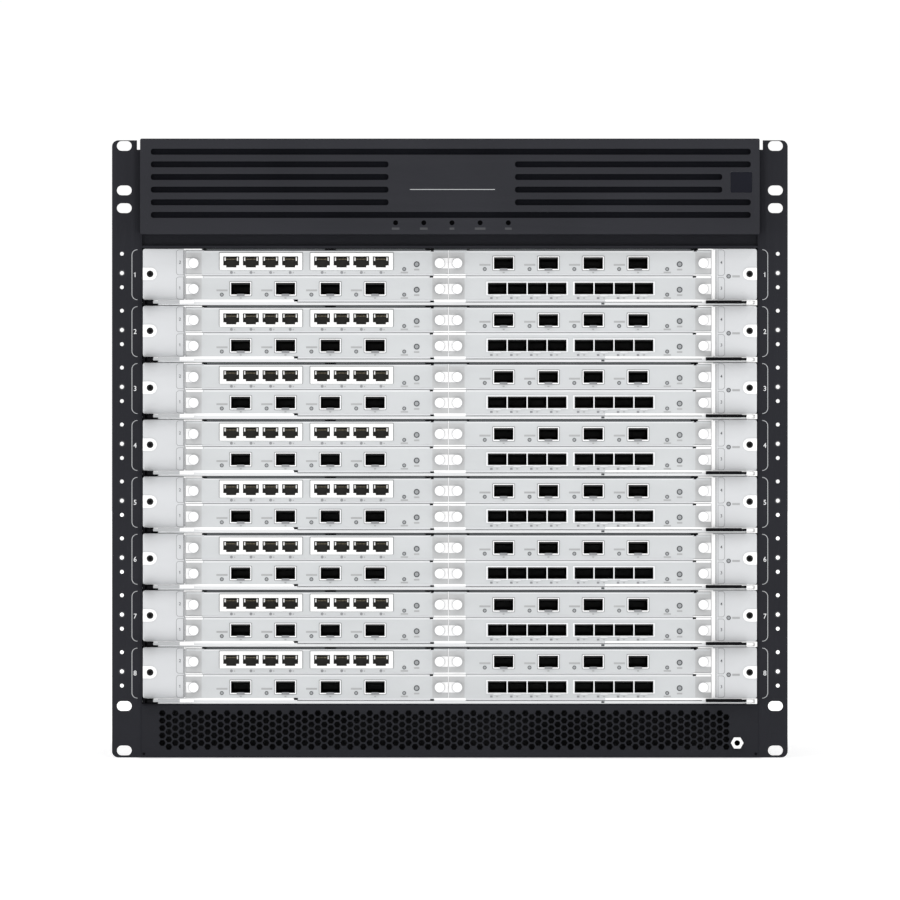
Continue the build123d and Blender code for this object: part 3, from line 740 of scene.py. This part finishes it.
def captive_screw(side):
    """A white tab with a round end, and the black socket of the screw in it."""
    x = sorted((side * CARD_HALF, side * 209.3))
    tab = rounded(x, (FRONT - 0.9, FRONT + 0.3), (-4.1, 4.8), 4.4, plating, 10,
                  "right" if side < 0 else "left")
    middle = side * SCREW_X
    cut(tab, [rod(middle, SCREW_Z, 2.35, (FRONT - 2, FRONT + 2), socket_black, sides=28)])
    soften(tab, 0.2, 2)
    bottom = rod(middle, SCREW_Z, 2.6, (FRONT - 0.2, FRONT + 0.2), socket_black, sides=28)
    key = rod(middle, SCREW_Z, 1.3, (FRONT - 0.3, FRONT), pit, sides=6)
    return [tab, bottom, key]


print("captive screws at", SCREW_X, "mm from the middle")


# %% The end plates
BOX_LEFT = -190.0
BOX_RIGHT = 188.0


def end_plates():
    """The two plates at the ends of the bays, with their print and the seams beside them."""
    y = (FRONT, FRONT + 1.5)
    z = (-PLATE_HALF, PLATE_HALF)
    left = rounded((-CARD_HALF, BOX_LEFT), y, z, 1.6, face_paint, 4, "left")
    right = rounded((BOX_RIGHT, CARD_HALF), y, z, 1.6, face_paint, 4, "right")
    parts = [soften(left, 0.3, 2), soften(right, 0.3, 2)]
    parts += captive_screw(-1) + captive_screw(1)
    parts += number_cell((-195.5, -190.1), (-0.5, 17.6), 2, "left")
    parts += number_cell((-195.5, -190.1), (-17.9, -1.7), 1, "left")
    parts += number_cell((191.4, 196.4), (-0.9, 17.6), 4, "right")
    parts += number_cell((191.4, 196.4), (-17.9, -2.1), 3, "right")
    parts += ring_lamp(199.1, -1.4, 1.6)
    parts.append(caption((201.7, 207.1), (-2.2, -0.7)))
    parts.append(patch((-189.9, -189.5), (-17.5, 17.3), seam_dark, 0.06))
    parts.append(patch((-189.45, -188.85), (-17.5, 17.3), face_paint, 0.04))
    parts.append(patch((186.85, 189.6), (-17.8, 17.4), plating))
    parts.append(patch((189.8, 190.2), (-17.5, 17.5), seam_dark, 0.06))
    return parts


print("end plates", round(BOX_LEFT + CARD_HALF, 1), "and", round(CARD_HALF - BOX_RIGHT, 1), "mm wide")


# %% [markdown]
# The box of the bays is thin bright sheet. Seen from the front only its edges show, so only
# they get the white plating, as a painted highlight, and the rest is plain zinc, which doesn't
# glare when a card is pulled out. Each face has a normal, which says the way it looks, and
# they are told apart by it.


# %% The box that holds the modules
def bright_edges_only(piece):
    """Keeps the bright plating, a painted highlight, on the edges that look forward, and makes
    the rest zinc sheet.
    """
    piece.data.materials.append(zinc)
    for face in piece.data.polygons:
        if face.normal.y > -0.5:
            face.material_index = len(piece.data.materials) - 1
    return piece


BAYS_Z = ((-0.025, 17.4), (-18.25, -0.825))
NOTCHES = ((-176.4, -173.5), (-89.2, -81.4), (-17.6, -11.3), (12.2, 13.9), (172.0, 177.2))


def bay_box():
    """Four thin walls and a shelf, with a notched band of painted shadow along the top."""
    box = block((BOX_LEFT, BOX_RIGHT), (FRONT, FRONT + 202), (-PLATE_HALF, PLATE_HALF), plating)
    bays = [block((BAY_LEFT, BAY_RIGHT), (FRONT - 1, FRONT + 200.8), z, plating) for z in BAYS_Z]
    bright_edges_only(cut(box, bays))
    # The dark band across the top, between the bright ends, is painted shadow.
    parts = [box, patch((-177.0, 176.5), (17.4, 18.24), seam_dark, 0.15)]
    for x in ((-177.0, -11.4), (11.4, 176.5)):
        parts.append(patch(x, (17.15, 17.45), seam_dark, 0.15))
    for x in NOTCHES:
        parts.append(patch(x, (17.15, 18.2), pit, 0.25))
    for x in ((-177.0, -11.3), (11.3, 174.0)):
        parts.append(patch(x, (-0.82, 0.25), face_paint, 0.04))
    parts.append(patch((-11.3, 11.3), (-0.82, 0.2), plating, 0.04))
    parts.append(block((-1.22, -0.78), (FRONT - 0.05, FRONT + 4), (-17.9, 17.3), plating))
    return parts


print("bays", round(BAY_RIGHT - BAY_LEFT, 1), "mm wide, notches", len(NOTCHES))



# %% The tray, its board and what stands on the board
FIN_GAP = 1.6
FIN_PITCH = 3.6
BOARD_TOP = -13.65
LOW_STRIP = (-19.5, -17.98)


def finned_sink(x, y, z):
    """A heat sink: one block whose gaps are cut out of it."""
    body = block(x, y, z, sink)
    gaps = []
    at = x[0] + 2.0
    while at + FIN_GAP < x[1] - 1.0:
        gaps.append(block((at, at + FIN_GAP), (y[0] - 1, y[1] + 1), (z[0] + 3.0, z[1] + 1), sink))
        at += FIN_PITCH
    return cut(body, gaps)


def tray_and_board():
    """The tray with its folded lip, the strips on its edge, some of them painted highlight and
    shadow, and the board at the back.
    """
    tray = block((-216.5, 216.5), (FRONT, 37.7), (-19.65, -18.25), plating)
    lip = block((-211.4, 211.4), (FRONT + 0.1, FRONT + 1.3), (-22.0, -19.6), pale_paint_and_highlight)
    main = block((-201.3, 201.3), (-78.0, 23.7), (-15.25, BOARD_TOP), board)
    plug = block((-150.0, 150.0), (23.7, 37.7), (-18.25, 7.75), chip_black)
    soften(plug, 0.6, 2)
    # The tray's forward faces get the same painted highlight.
    parts = [bright_edges_only(soften(tray, 0.15, 1)), lip, main, plug]
    front = (FRONT - 0.05, FRONT + 0.2)
    for x in ((-109.0, -11.3), (11.3, 111.0)):
        parts.append(block(x, front, LOW_STRIP, face_paint))
    # White strips on the tray's edge are painted highlight; the dark line below them is painted shadow.
    for x in ((-189.0, -111.9), (-11.3, 11.3), (111.0, 188.0)):
        parts.append(block(x, front, LOW_STRIP, plating))
    for x in ((-109.0, -11.3), (11.3, 180.0)):
        parts.append(block(x, (FRONT - 0.04, FRONT + 0.2), (-20.05, -19.6), seam_dark))
    parts.append(block((-211.9, -208.4), (FRONT - 1.0, FRONT + 0.1), (-22.0, -21.0), pit))
    parts.append(block((108.2, 110.4), (FRONT + 0.02, FRONT + 0.2), (-21.6, -20.3), seam_dark))
    for x, z in (((-111.3, -108.5), (-19.4, -18.0)), ((-14.0, -11.3), (-19.9, -18.8))):
        parts.append(patch(x, z, pit, 0.2))
    for x in (-150.0, -60.0, 40.0, 130.0):
        parts.append(finned_sink((x - 22, x + 22), (-62, -18), (BOARD_TOP, 6.0)))
    for x in range(-180, 181, 24):
        chip = block((x - 7, x + 7), (-12, 2), (BOARD_TOP, -11.6), chip_black)
        parts.append(soften(chip, 0.3, 1))
    return parts


print("fins every", FIN_PITCH, "mm on a board at", BOARD_TOP)


# %% [markdown]
# Each end of a card has an ejector lever that swings out from under the plate and levers the
# card away from the midplane. The photograph shows a light grey one on the left and a black
# one on the right. Only those of the top card turn. On the other cards they are part of the
# card, because the CAD model has no room for more nodes. An arm could be one bent bar, but its
# parts have different paints, so it is joined of blocks, and then bored for the pin.


# %% Levers and their brackets
PIVOT_X = 214.7
PIVOT_Y = -283.6
ARM_Y = (PIVOT_Y - 2.2, PIVOT_Y + 2.2)
ARM_Z = (-20.9, -18.6)
EYE_Z = (-21.2, -19.2)
BRACKET_Z = (-22.1, -18.3)


def upright_rod(x, y, radius, z, paint, sides=24):
    """A cylinder that stands upright, such as a pivot pin."""
    bpy.ops.object.select_all(action="DESELECT")
    bpy.ops.mesh.primitive_cylinder_add(
        vertices=sides, radius=radius * MM, depth=(z[1] - z[0]) * MM,
        location=(x * MM, y * MM, (z[0] + z[1]) / 2 * MM),
    )
    return painted(paint)


def bracket(side, paint):
    """A block with a slot for the lever's eye, and the pivot pin through both."""
    x = sorted((side * CARD_HALF, side * 211.7))
    body = block(x, (FRONT - 6.8, FRONT + 1.4), BRACKET_Z, paint)
    gap = sorted((side * 217.5, side * 210.0))
    cut(body, [block(gap, (FRONT - 8, FRONT - 0.2), (-21.5, -18.9), paint)])
    soften(body, 0.25, 2)
    pin = upright_rod(side * PIVOT_X, PIVOT_Y, 0.95, BRACKET_Z, paint, 16)
    return [body, pin]


def lever_arm(side, paint, eye_paint, tip_paint):
    """A flat arm with its finger tip, a slimmer neck, and a round eye for the pin."""
    arm = block(sorted((side * 192.7, side * 208.4)), ARM_Y, ARM_Z, paint)
    neck = block(sorted((side * 208.0, side * 211.8)), ARM_Y, (-20.8, -19.1), paint)
    tip = block(sorted((side * 182.7, side * 193.0)), ARM_Y, ARM_Z, tip_paint)
    soften(arm, 0.35, 2)
    soften(tip, 0.35, 2)
    root = block(sorted((side * 211.5, side * PIVOT_X)), ARM_Y, EYE_Z, eye_paint)
    eye = upright_rod(side * PIVOT_X, PIVOT_Y, 2.55, EYE_Z, eye_paint, 28)
    hole = upright_rod(side * PIVOT_X, PIVOT_Y, 1.1, (-23, -17), paint, 20)
    return cut(join([arm, tip, neck, root, eye]), [hole], overlapping=True)


left_arm = lever_arm(-1, lever_grey, lever_black, plating)
right_arm = lever_arm(1, lever_black, plating, lever_black)
print("lever faces", len(left_arm.data.polygons), len(right_arm.data.polygons))

# %% Build one card, then copy it into every slot
card = join(
    end_plates() + bay_box() + tray_and_board() + bracket(-1, pit) + bracket(1, plating),
    "line card",
)
for slot in SLOTS:
    node = f"line_card_{slot}"
    piece = copied(card, z=slot_z(slot))
    if slot > 1:
        arms = [copied(left_arm, z=slot_z(slot)), copied(right_arm, z=slot_z(slot))]
        piece = join([piece] + arms)
    piece.name = piece.data.name = f"{node}_piece"
    place(piece, node, node)
place(moved(left_arm, z=slot_z(1)), "ejector_lever_left", "ejector_lever_left")
place(moved(right_arm, z=slot_z(1)), "ejector_lever_right", "ejector_lever_right")
left_arm.name, right_arm.name = "left_lever_piece", "right_lever_piece"
bpy.data.objects.remove(card)
print("line cards placed", len(SLOTS))

# %% [markdown]
# The ears bolt the chassis to a rack. Each is a folded sheet: a flange with rounded slots for
# the rack screws, a row of small screw holes, and a leg along the side. The print beside the
# slots is a bracket and a plain number for each card, a thin layer on the paint. A printed line
# could be a curve with a thickness, but a frame cut out of a frame keeps the same line width.
# The right ear is modelled, and the left one is its mirror image.


# %% One ear
EAR_INSIDE = 221.0
EAR_EDGE = 241.3
EAR_TOP = 440.8
NOTCH_FLOOR = 434.1
RACK_SLOT_X = (227.25, 237.85)
RACK_SLOT_HALF = 3.5
RACK_SLOT_Z = (436.8, 405.05, 392.35, 36.75, 5.0)
SMALL_HOLE_X = 234.25
MIDDLE_HOLE = 0.95
SMALL_HOLES = ((14.7, 1.4), (MIDDLE_HOLE, 1.45), (-9.2, 1.4))


def ear():
    """The right ear, with a pale ring of painted light round the middle hole beside each slot."""
    through = (FRONT - 1, FRONT + 4)
    flange = rounded((EAR_INSIDE, EAR_EDGE), (FRONT, FRONT + 2.5), (0.0, EAR_TOP), 4.5, coat, 8,
                     "right")
    tools = [block((219.0, 223.5), through, (NOTCH_FLOOR, 442), coat)]
    for z in RACK_SLOT_Z:
        tall = (z - RACK_SLOT_HALF, z + RACK_SLOT_HALF)
        tools.append(rounded(RACK_SLOT_X, through, tall, RACK_SLOT_HALF, coat, 10))
    cut(flange, tools)
    cut(flange, [rod(SMALL_HOLE_X, slot_z(slot) + offset, radius, through, coat, 16)
                 for slot in SLOTS for offset, radius in SMALL_HOLES])
    soften(flange, 0.12, 2)
    leg = block((EAR_INSIDE, 223.0), (FRONT + 2.4, FRONT + 60), (0.0, NOTCH_FLOOR), coat)
    soften(leg, 0.3, 2)
    # A faint pale ring round each middle hole is painted light, the halo round a bright hole.
    painted_halos = []
    for slot in SLOTS:
        z = slot_z(slot) + MIDDLE_HOLE
        ring = rod(SMALL_HOLE_X, z, 2.2, (FRONT - 0.05, FRONT + 0.3), faint_print_and_halo_light, 24)
        painted_halos.append(cut(ring, [rod(SMALL_HOLE_X, z, 1.44, (FRONT - 1, FRONT + 1), faint_print_and_halo_light, 24)]))
    return join([flange, leg] + painted_halos)


def slot_bracket():
    """The printed bracket beside a slot: half of a thin rounded frame."""
    ring = rounded((218.0, 227.3), (PRINT_Y, FRONT - 0.01), (-18.3, 17.8), 4.0, print_dim, 8)
    tools = [rounded((218.4, 226.8), (FRONT - 1, FRONT + 1), (-17.9, 17.4), 3.6, print_dim, 8)]
    cut(ring, tools)
    return cut(ring, [block((217.0, 223.1), (FRONT - 1, FRONT + 1), (-20, 20), print_dim)])


# %% Print the brackets and digits, and join both ears
right_ear = ear()
left_ear = mirrored(right_ear)
one_bracket = slot_bracket()
prints = []
for slot in SLOTS:
    right_mark = copied(one_bracket, z=slot_z(slot))
    prints += [right_mark, mirrored(right_mark)]
    for side in (-1, 1):
        prints.append(numeral(slot, side * 224.9 + 0.1, slot_z(slot) - 0.4, 3.5, print_white))
bpy.data.objects.remove(one_bracket)
ears = join([right_ear, left_ear] + prints, "rack_ears_piece")
place(ears, "chassis", "rack_ears")
print("ear faces", len(ears.data.polygons))

# %% [markdown]
# The top fascia is a moulded bezel with six rows of long grooves. Two gaps are left in them,
# one for a badge, which stays bare here but for a thin rule, and one for a small square pad.
# The grooves could be dark lines, but air passes through them, so they are cut through, with a
# dark screen of painted shadow behind. Under the fascia a thin lip closes the gap over the top card.


# %% The top fascia
FASCIA_FRONT = -291.95
FASCIA_HALF = 221
GROOVES = 6
GROOVE_TOP = 432.4
GROOVE_PITCH = 9.02
GROOVE_ENDS = (-213.3, 214.6)
LAMPS_MIDDLE = 1.5
LAMP_PITCH = 20.1
LABEL_WIDTHS = (5.4, 5.4, 3.4, 7.6, 4.8)


def groove_ranges(row):
    """Where the grooves of one row run, on both sides of the badge and short of the pad."""
    left_end, right_end = GROOVE_ENDS
    if row in (0, GROOVES - 1):
        return [(left_end, right_end)]
    if row in (2, 3):
        right_end = 194.3
    return [(left_end, -43.8), (46.5, right_end)]


def top_fascia():
    """A hollow bezel with its grooves, lamp holes, pad, rule and the lamps' labels."""
    fascia_block = rounded((-FASCIA_HALF, FASCIA_HALF), (FASCIA_FRONT, FRONT), (373.6, 441.8), 1.2,
                           bezel, 4)
    hollow = block((-218.5, 218.5), (-289.5, FRONT + 1), (376.1, 439.3), pit)
    cut(fascia_block, [hollow])
    grooves = []
    for row in range(GROOVES):
        z = GROOVE_TOP - row * GROOVE_PITCH
        for x in groove_ranges(row):
            grooves.append(rounded(x, (-293, -288), (z - 2.1, z + 2.1), 1.75, groove_dark, 6))
    lamps = [LAMPS_MIDDLE + (i - 2) * LAMP_PITCH for i in range(len(LABEL_WIDTHS))]
    grooves += [rod(x, 381.7, 1.75, (-293, -288), pit, 20) for x in lamps]
    grooves.append(rounded((200.0, 215.9), (-293, -291.6), (403.0, 418.1), 0.9, seam_dark, 4))
    cut(fascia_block, grooves)
    soften(fascia_block, 0.5, 3, 60)
    # The dark screen behind the grooves is painted shadow.
    shadow_screen = block((-218.4, 218.4), (-288.6, -288.2), (384.0, 437.0), groove_dark)
    pad = rounded((200.2, 215.7), (-291.85, -291.5), (403.2, 417.9), 0.8, pad_paint, 4)
    prints = [block((-28.5, 32.2), (-292.0, -291.94), (405.2, 405.7), print_dim)]
    for x, wide in zip(lamps, LABEL_WIDTHS):
        under = (x - wide / 2, x + wide / 2)
        prints.append(block(under, (-291.99, -291.94), (376.7, 378.3), faint_print_and_halo_light))
    return join([fascia_block, shadow_screen, pad] + prints, "top_fascia_piece")


fascia = top_fascia()
place(fascia, "chassis", "top_fascia")
print("fascia faces", len(fascia.data.polygons))

# %% The lip over the top card
LIP_Z = (363.75, 365.6)
lip = block((-219.4, 219.4), (FRONT - 0.2, FRONT + 2.0), LIP_Z, coat)
soften(lip, 0.15, 1)
lip.name = lip.data.name = "opening_lip"
place(lip, "chassis", None)
print("lip height", round(LIP_Z[1] - LIP_Z[0], 2), "mm")

# %% [markdown]
# Cold air enters at the bottom through a honeycomb of small holes. A picture of holes would be
# flat, so they are cut: one hexagonal tool is repeated by two array modifiers into a field, a
# second field is set half a pitch aside and lower, and both are cut out of the panel at once.


# %% The intake grille
HEX_ACROSS = 4.2
HEX_RADIUS = HEX_ACROSS / 2 / math.cos(math.pi / 6)
HEX_PITCH = (9.26, 5.3)
HEX_COLUMNS = 44
HEX_ROWS = 5
FIRST_HEX_X = -205.4
SOCKET_X = 205.2
SOCKET_Z = 10.4


def hex_field(x, z):
    tool = rod(x, z, HEX_RADIUS, (FRONT - 1, FRONT + 3), grille_coat, 6, math.pi / 6)
    return repeated(tool, HEX_COLUMNS, HEX_ROWS, HEX_PITCH)


def intake_grille():
    panel = block((-219.8, 219.8), (FRONT, FRONT + 1.5), (1.2, 36.9), grille_coat)
    even = hex_field(FIRST_HEX_X, 10.4)
    odd = hex_field(FIRST_HEX_X + HEX_PITCH[0] / 2, 7.6)
    seat = rod(SOCKET_X, SOCKET_Z, 4.4, (FRONT - 1, FRONT + 3), grille_coat, 24)
    cut(panel, [even, odd, seat])
    screws = []
    for side in (-1, 1):
        head = rod(side * 218.5, 2.6, 0.95, (FRONT - 0.3, FRONT + 0.2), pit, 16)
        screws.append(soften(head, 0.15, 2))
    return join([panel] + screws, "intake_grille_piece")


grille = intake_grille()
place(grille, "chassis", "intake_grille")
print("grille faces", len(grille.data.polygons))


# %% The static-discharge socket
def esd_socket():
    """A hexagon nut on a round barrel, with a blind bore for a wrist strap's plug."""
    nut = rod(SOCKET_X, SOCKET_Z, 4.62, (FRONT - 2.5, FRONT), plating, 6, math.pi / 6)
    soften(nut, 0.35, 2)
    barrel = rod(SOCKET_X, SOCKET_Z, 3.3, (FRONT - 0.2, FRONT + 9), cage_steel, 28)
    bore = rod(SOCKET_X, SOCKET_Z, 2.0, (FRONT - 3, FRONT + 7.5), pit, 28)
    return cut(join([nut, barrel]), [bore], overlapping=True)


socket = esd_socket()
socket.name = "esd_socket_piece"
place(socket, "chassis", "esd_socket")
print("socket faces", len(socket.data.polygons))

# %% [markdown]
# The back of the chassis isn't in the photograph. It is made as such products are: two power
# supplies at the bottom with mains inlets and pull handles, two controllers above them, and a
# wide fan tray at the top with wire guards over its three fans. A handle could be a bent tube.
# A block with its middle cut out and its edges rounded looks the same and has few faces.


# %% Handles and perforated vents
FACE = BACK + 0.3
OUTSIDE = FACE + 1.5


def bow_handle(x, z):
    """A pull handle, its two legs and grip in one piece."""
    bar = block((x - 5, x + 5), (OUTSIDE, OUTSIDE + 30), (z - 40, z + 40), lever_black)
    cut(bar, [block((x - 6, x + 6), (OUTSIDE - 1, OUTSIDE + 24), (z - 34, z + 34), lever_black)])
    return soften(bar, 1.6, 3)


def vent_cuts(x, z, pitch, radius):
    """Tools for a field of six-sided holes through a rear plate."""
    tool = rod(x[0], z[0], radius, (FACE - 1, OUTSIDE + 1), pit, 6)
    columns, rows = (int((high - low) / pitch) + 1 for low, high in (x, z))
    return repeated(tool, columns, rows, (pitch, pitch))


print("rear plates stand at", FACE, "to", OUTSIDE)


# %% Power supplies
SUPPLIES_X = (-109.9, 109.9)
INLET_Z = (34.5, 54.5)


def power_supply(middle):
    """A long box with a perforated plate, a mains inlet, a handle and a lamp."""
    z = (1.5, 87.5)
    centre = 44.5
    inlet = (middle - 73.5, middle - 46.5)
    body = block((middle - 102, middle + 102), (49.2, FACE), z, zinc)
    cut(body, [block(inlet, (259.8, FACE + 1), INLET_Z, socket_black)])
    soften(body, 0.4, 1)
    plate = block((middle - 104, middle + 104), (FACE, OUTSIDE), z, zinc)
    cut(plate, [
        block(inlet, (FACE - 1, OUTSIDE + 1), INLET_Z, socket_black),
        vent_cuts((middle - 30, middle + 48), (10, 79), 6.0, 2.3),
    ])
    backing = block((middle - 34, middle + 52), (FACE - 0.2, FACE + 0.2), (6, 83), pit)
    parts = [body, plate, backing, bow_handle(middle + 70, centre)]
    for x in (-7.0, 0.0, 7.0):
        pin = block((middle - 60 + x - 0.9, middle - 60 + x + 0.9), (262, 277),
                    (centre - 3.5, centre + 3.5), cage_steel)
        parts.append(soften(pin, 0.3, 1))
    shroud = rounded((inlet[0] - 2.5, inlet[1] + 2.5), (OUTSIDE - 0.1, OUTSIDE + 1.4), (32, 57), 2.5,
                     socket_black, 4)
    cut(shroud, [block(inlet, (OUTSIDE - 2, OUTSIDE + 3), INLET_Z, socket_black)])
    parts.append(shroud)
    parts.append(rod(middle + 92, 76.0, 1.6, (OUTSIDE - 0.1, OUTSIDE + 0.5), lamp_grey, 16))
    return join(parts)


for number, middle in enumerate(SUPPLIES_X, start=1):
    node = f"power_supply_{number}"
    piece = power_supply(middle)
    piece.name = piece.data.name = f"{node}_piece"
    place(piece, node, node)
print("power supplies placed", len(SUPPLIES_X))


# %% Controllers
CONTROLLERS_Z = (96.5, 140.5)


def port_cuts(middle):
    """Tools for the two management ports."""
    return [block((x - 5.7, x + 5.7), (266.8, OUTSIDE + 1), (middle - 4, middle + 4), socket_black)
            for x in (-150, -126)]


def control_module(low):
    """A board with a plug and heat sinks, behind a plate with two ports, lamps and knobs."""
    z = (low, low + 36)
    middle = low + 18
    base = block((-213.8, 213.8), (41.5, FACE), (low, low + 1.6), board)
    plug = block((-150, 150), (41.5, 55.5), z, chip_black)
    plate = block((-215.8, 215.8), (FACE, OUTSIDE), z, zinc)
    cut(plate, port_cuts(middle))
    soften(plate, 0.2, 1)
    body = block((-162, -114), (265.3, FACE), (low, middle + 8), jack_white)
    cut(body, port_cuts(middle))
    parts = [base, soften(plug, 0.6, 2), plate, body]
    for x in (-205, 205):
        knob = rod(x, middle, 4.0, (OUTSIDE, OUTSIDE + 8), plating, 28)
        parts.append(soften(knob, 0.6, 2, 40))
    for i in range(4):
        parts.append(rod(-90 + i * 9, middle, 1.3, (OUTSIDE - 0.1, OUTSIDE + 0.3), lamp_grey, 14))
    for x in range(-120, 121, 60):
        parts.append(finned_sink((x - 20, x + 20), (110, 150), (low + 1.6, low + 20)))
    return join(parts)


for number, low in enumerate(CONTROLLERS_Z, start=1):
    node = f"control_module_{number}"
    piece = control_module(low)
    piece.name = piece.data.name = f"{node}_piece"
    place(piece, node, node)
print("controllers placed", len(CONTROLLERS_Z))

# %% [markdown]
# A fan is a hub with slanted blades. A real blade is curved, but behind its guard only the
# slant shows, so a blade is a thin block, turned on its root and set round the hub. A guard of
# rings and spokes keeps fingers out, and stands on the outside of the tray's plate.


# %% The fan tray
FAN_X = (-134.0, 0.0, 134.0)
FAN_Z = 363.6
DUCT_RADIUS = 60.0
GUARD_RADII = (16, 27, 38, 49, 59)


def guard_ring(x, radius):
    bpy.ops.object.select_all(action="DESELECT")
    bpy.ops.mesh.primitive_torus_add(
        major_radius=radius * MM, minor_radius=0.9 * MM, major_segments=48, minor_segments=8,
        location=(x * MM, (OUTSIDE + 1.0) * MM, FAN_Z * MM), rotation=(math.pi / 2, 0, 0),
    )
    return painted(cage_steel)


def fan_tray():
    z = (292.6, 434.6)
    y = (232.0, FACE)
    body = block((-213.8, 213.8), y, z, zinc)
    plate = block((-215.8, 215.8), (FACE, OUTSIDE), z, zinc)
    cut(body, [rod(x, FAN_Z, DUCT_RADIUS, (y[0] - 1, FACE + 1), zinc, 48) for x in FAN_X])
    cut(plate, [rod(x, FAN_Z, DUCT_RADIUS, (FACE - 1, OUTSIDE + 1), zinc, 48) for x in FAN_X])
    soften(plate, 0.2, 1)
    parts = [body, plate, bow_handle(-67.0, FAN_Z)]
    for x in FAN_X:
        parts.append(block((x - 6, x + 6), (232, 238), (FAN_Z - 60.5, FAN_Z + 60.5), zinc))
        parts += [guard_ring(x, radius) for radius in GUARD_RADII]
        for turn in range(4):
            spoke = block((-0.8, 0.8), (OUTSIDE + 0.2, OUTSIDE + 1.8), (-61.5, 61.5), cage_steel)
            spoke.rotation_euler = (0, math.radians(45 * turn + 22.5), 0)
            settle(spoke)
            parts.append(moved(spoke, x=x, z=FAN_Z))
    return join(parts, "fan_tray_piece")


place(fan_tray(), "fan_tray", "fan_tray")
print("fan guards", len(FAN_X), "with", len(GUARD_RADII), "rings each")


# %% Fan rotors
BLADES = 7
BLADE_SLANT = 40


def fan_rotor():
    """A hub with its blades, each turned by its slant first and then round the hub."""
    hub = rod(0, 0, 22.0, (238.3, 264.3), fan_black, 48)
    soften(hub, 2.0, 3, 40)
    parts = [hub]
    for i in range(BLADES):
        blade = block((-1.0, 1.0), (-13.5, 13.5), (19.0, 55.5), fan_black)
        blade.rotation_euler = (0, 0, math.radians(BLADE_SLANT))
        settle(blade)
        blade.rotation_euler = (0, i * math.tau / BLADES, 0)
        settle(blade)
        parts.append(soften(moved(blade, y=251.3), 0.6, 2))
    return join(parts, "fan rotor")


rotor = fan_rotor()
for number, x in enumerate(FAN_X, start=1):
    node = f"fan_rotor_{number}"
    piece = copied(rotor, f"{node}_piece", x=x, z=FAN_Z)
    place(piece, node, node)
bpy.data.objects.remove(rotor)
print("fans placed", len(FAN_X))

# %% [markdown]
# The photograph looks straight at the front, on pure white, and its edges run parallel. A very
# long lens far from the chassis does nearly the same. The floor is nearly white and the sky is
# white, so that both run out of the picture's range and meet unseen. A white card behind the
# chassis would look the same from the front, but not from the side.

# %% Floor and sky
bpy.ops.object.select_all(action="DESELECT")
bpy.ops.mesh.primitive_plane_add(size=80, location=(0, 0, -0.0005))
floor = bpy.context.object
floor.name = "studio_floor"
floor.data.materials.append(finish("pale floor", (0.93, 0.93, 0.93), 0.8, gloss=0.1, vary=0.01,
                                   grain=60, bump=0.0))
floor_shader = floor.data.materials[0].node_tree.nodes["Principled BSDF"]
floor_shader.inputs["Emission Color"].default_value = (1, 1, 1, 1)
floor_shader.inputs["Emission Strength"].default_value = 0.42
world = bpy.data.worlds.new("white studio")
world.use_nodes = True
world.node_tree.nodes["Background"].inputs["Color"].default_value = (1, 1, 1, 1)
world.node_tree.nodes["Background"].inputs["Strength"].default_value = 1.02
bpy.context.scene.world = world
bpy.context.scene.view_settings.view_transform = "Standard"
print("floor light", floor_shader.inputs["Emission Strength"].default_value)


# %% Lights and camera
def soft_light(name, place_at, aim, size, power):
    lamp = bpy.data.lights.new(name, "AREA")
    lamp.size = size
    lamp.energy = power
    thing = bpy.data.objects.new(name, lamp)
    bpy.context.scene.collection.objects.link(thing)
    thing.location = place_at
    thing.rotation_euler = (Vector(aim) - Vector(place_at)).to_track_quat("-Z", "Y").to_euler()


soft_light("high front softbox", (-0.5, -2.6, 3.4), (0, 0, 0.2), 2.0, 14)
PIXEL = 0.7142
PICTURE = 900
DISTANCE = 10.0
lens = bpy.data.cameras.new("long lens")
lens.sensor_width = 36.0
lens.lens = lens.sensor_width * DISTANCE / (PICTURE * PIXEL * MM)
lens.clip_end = 200.0
camera = bpy.data.objects.new("long lens", lens)
bpy.context.scene.collection.objects.link(camera)
aim = Vector((0.0001, FRONT * MM, 0.2196))
camera.location = aim - Vector((0, DISTANCE, 0))
camera.rotation_euler = (math.pi / 2, 0, 0)
bpy.context.scene.camera = camera
print("lens", round(lens.lens, 1), "mm")
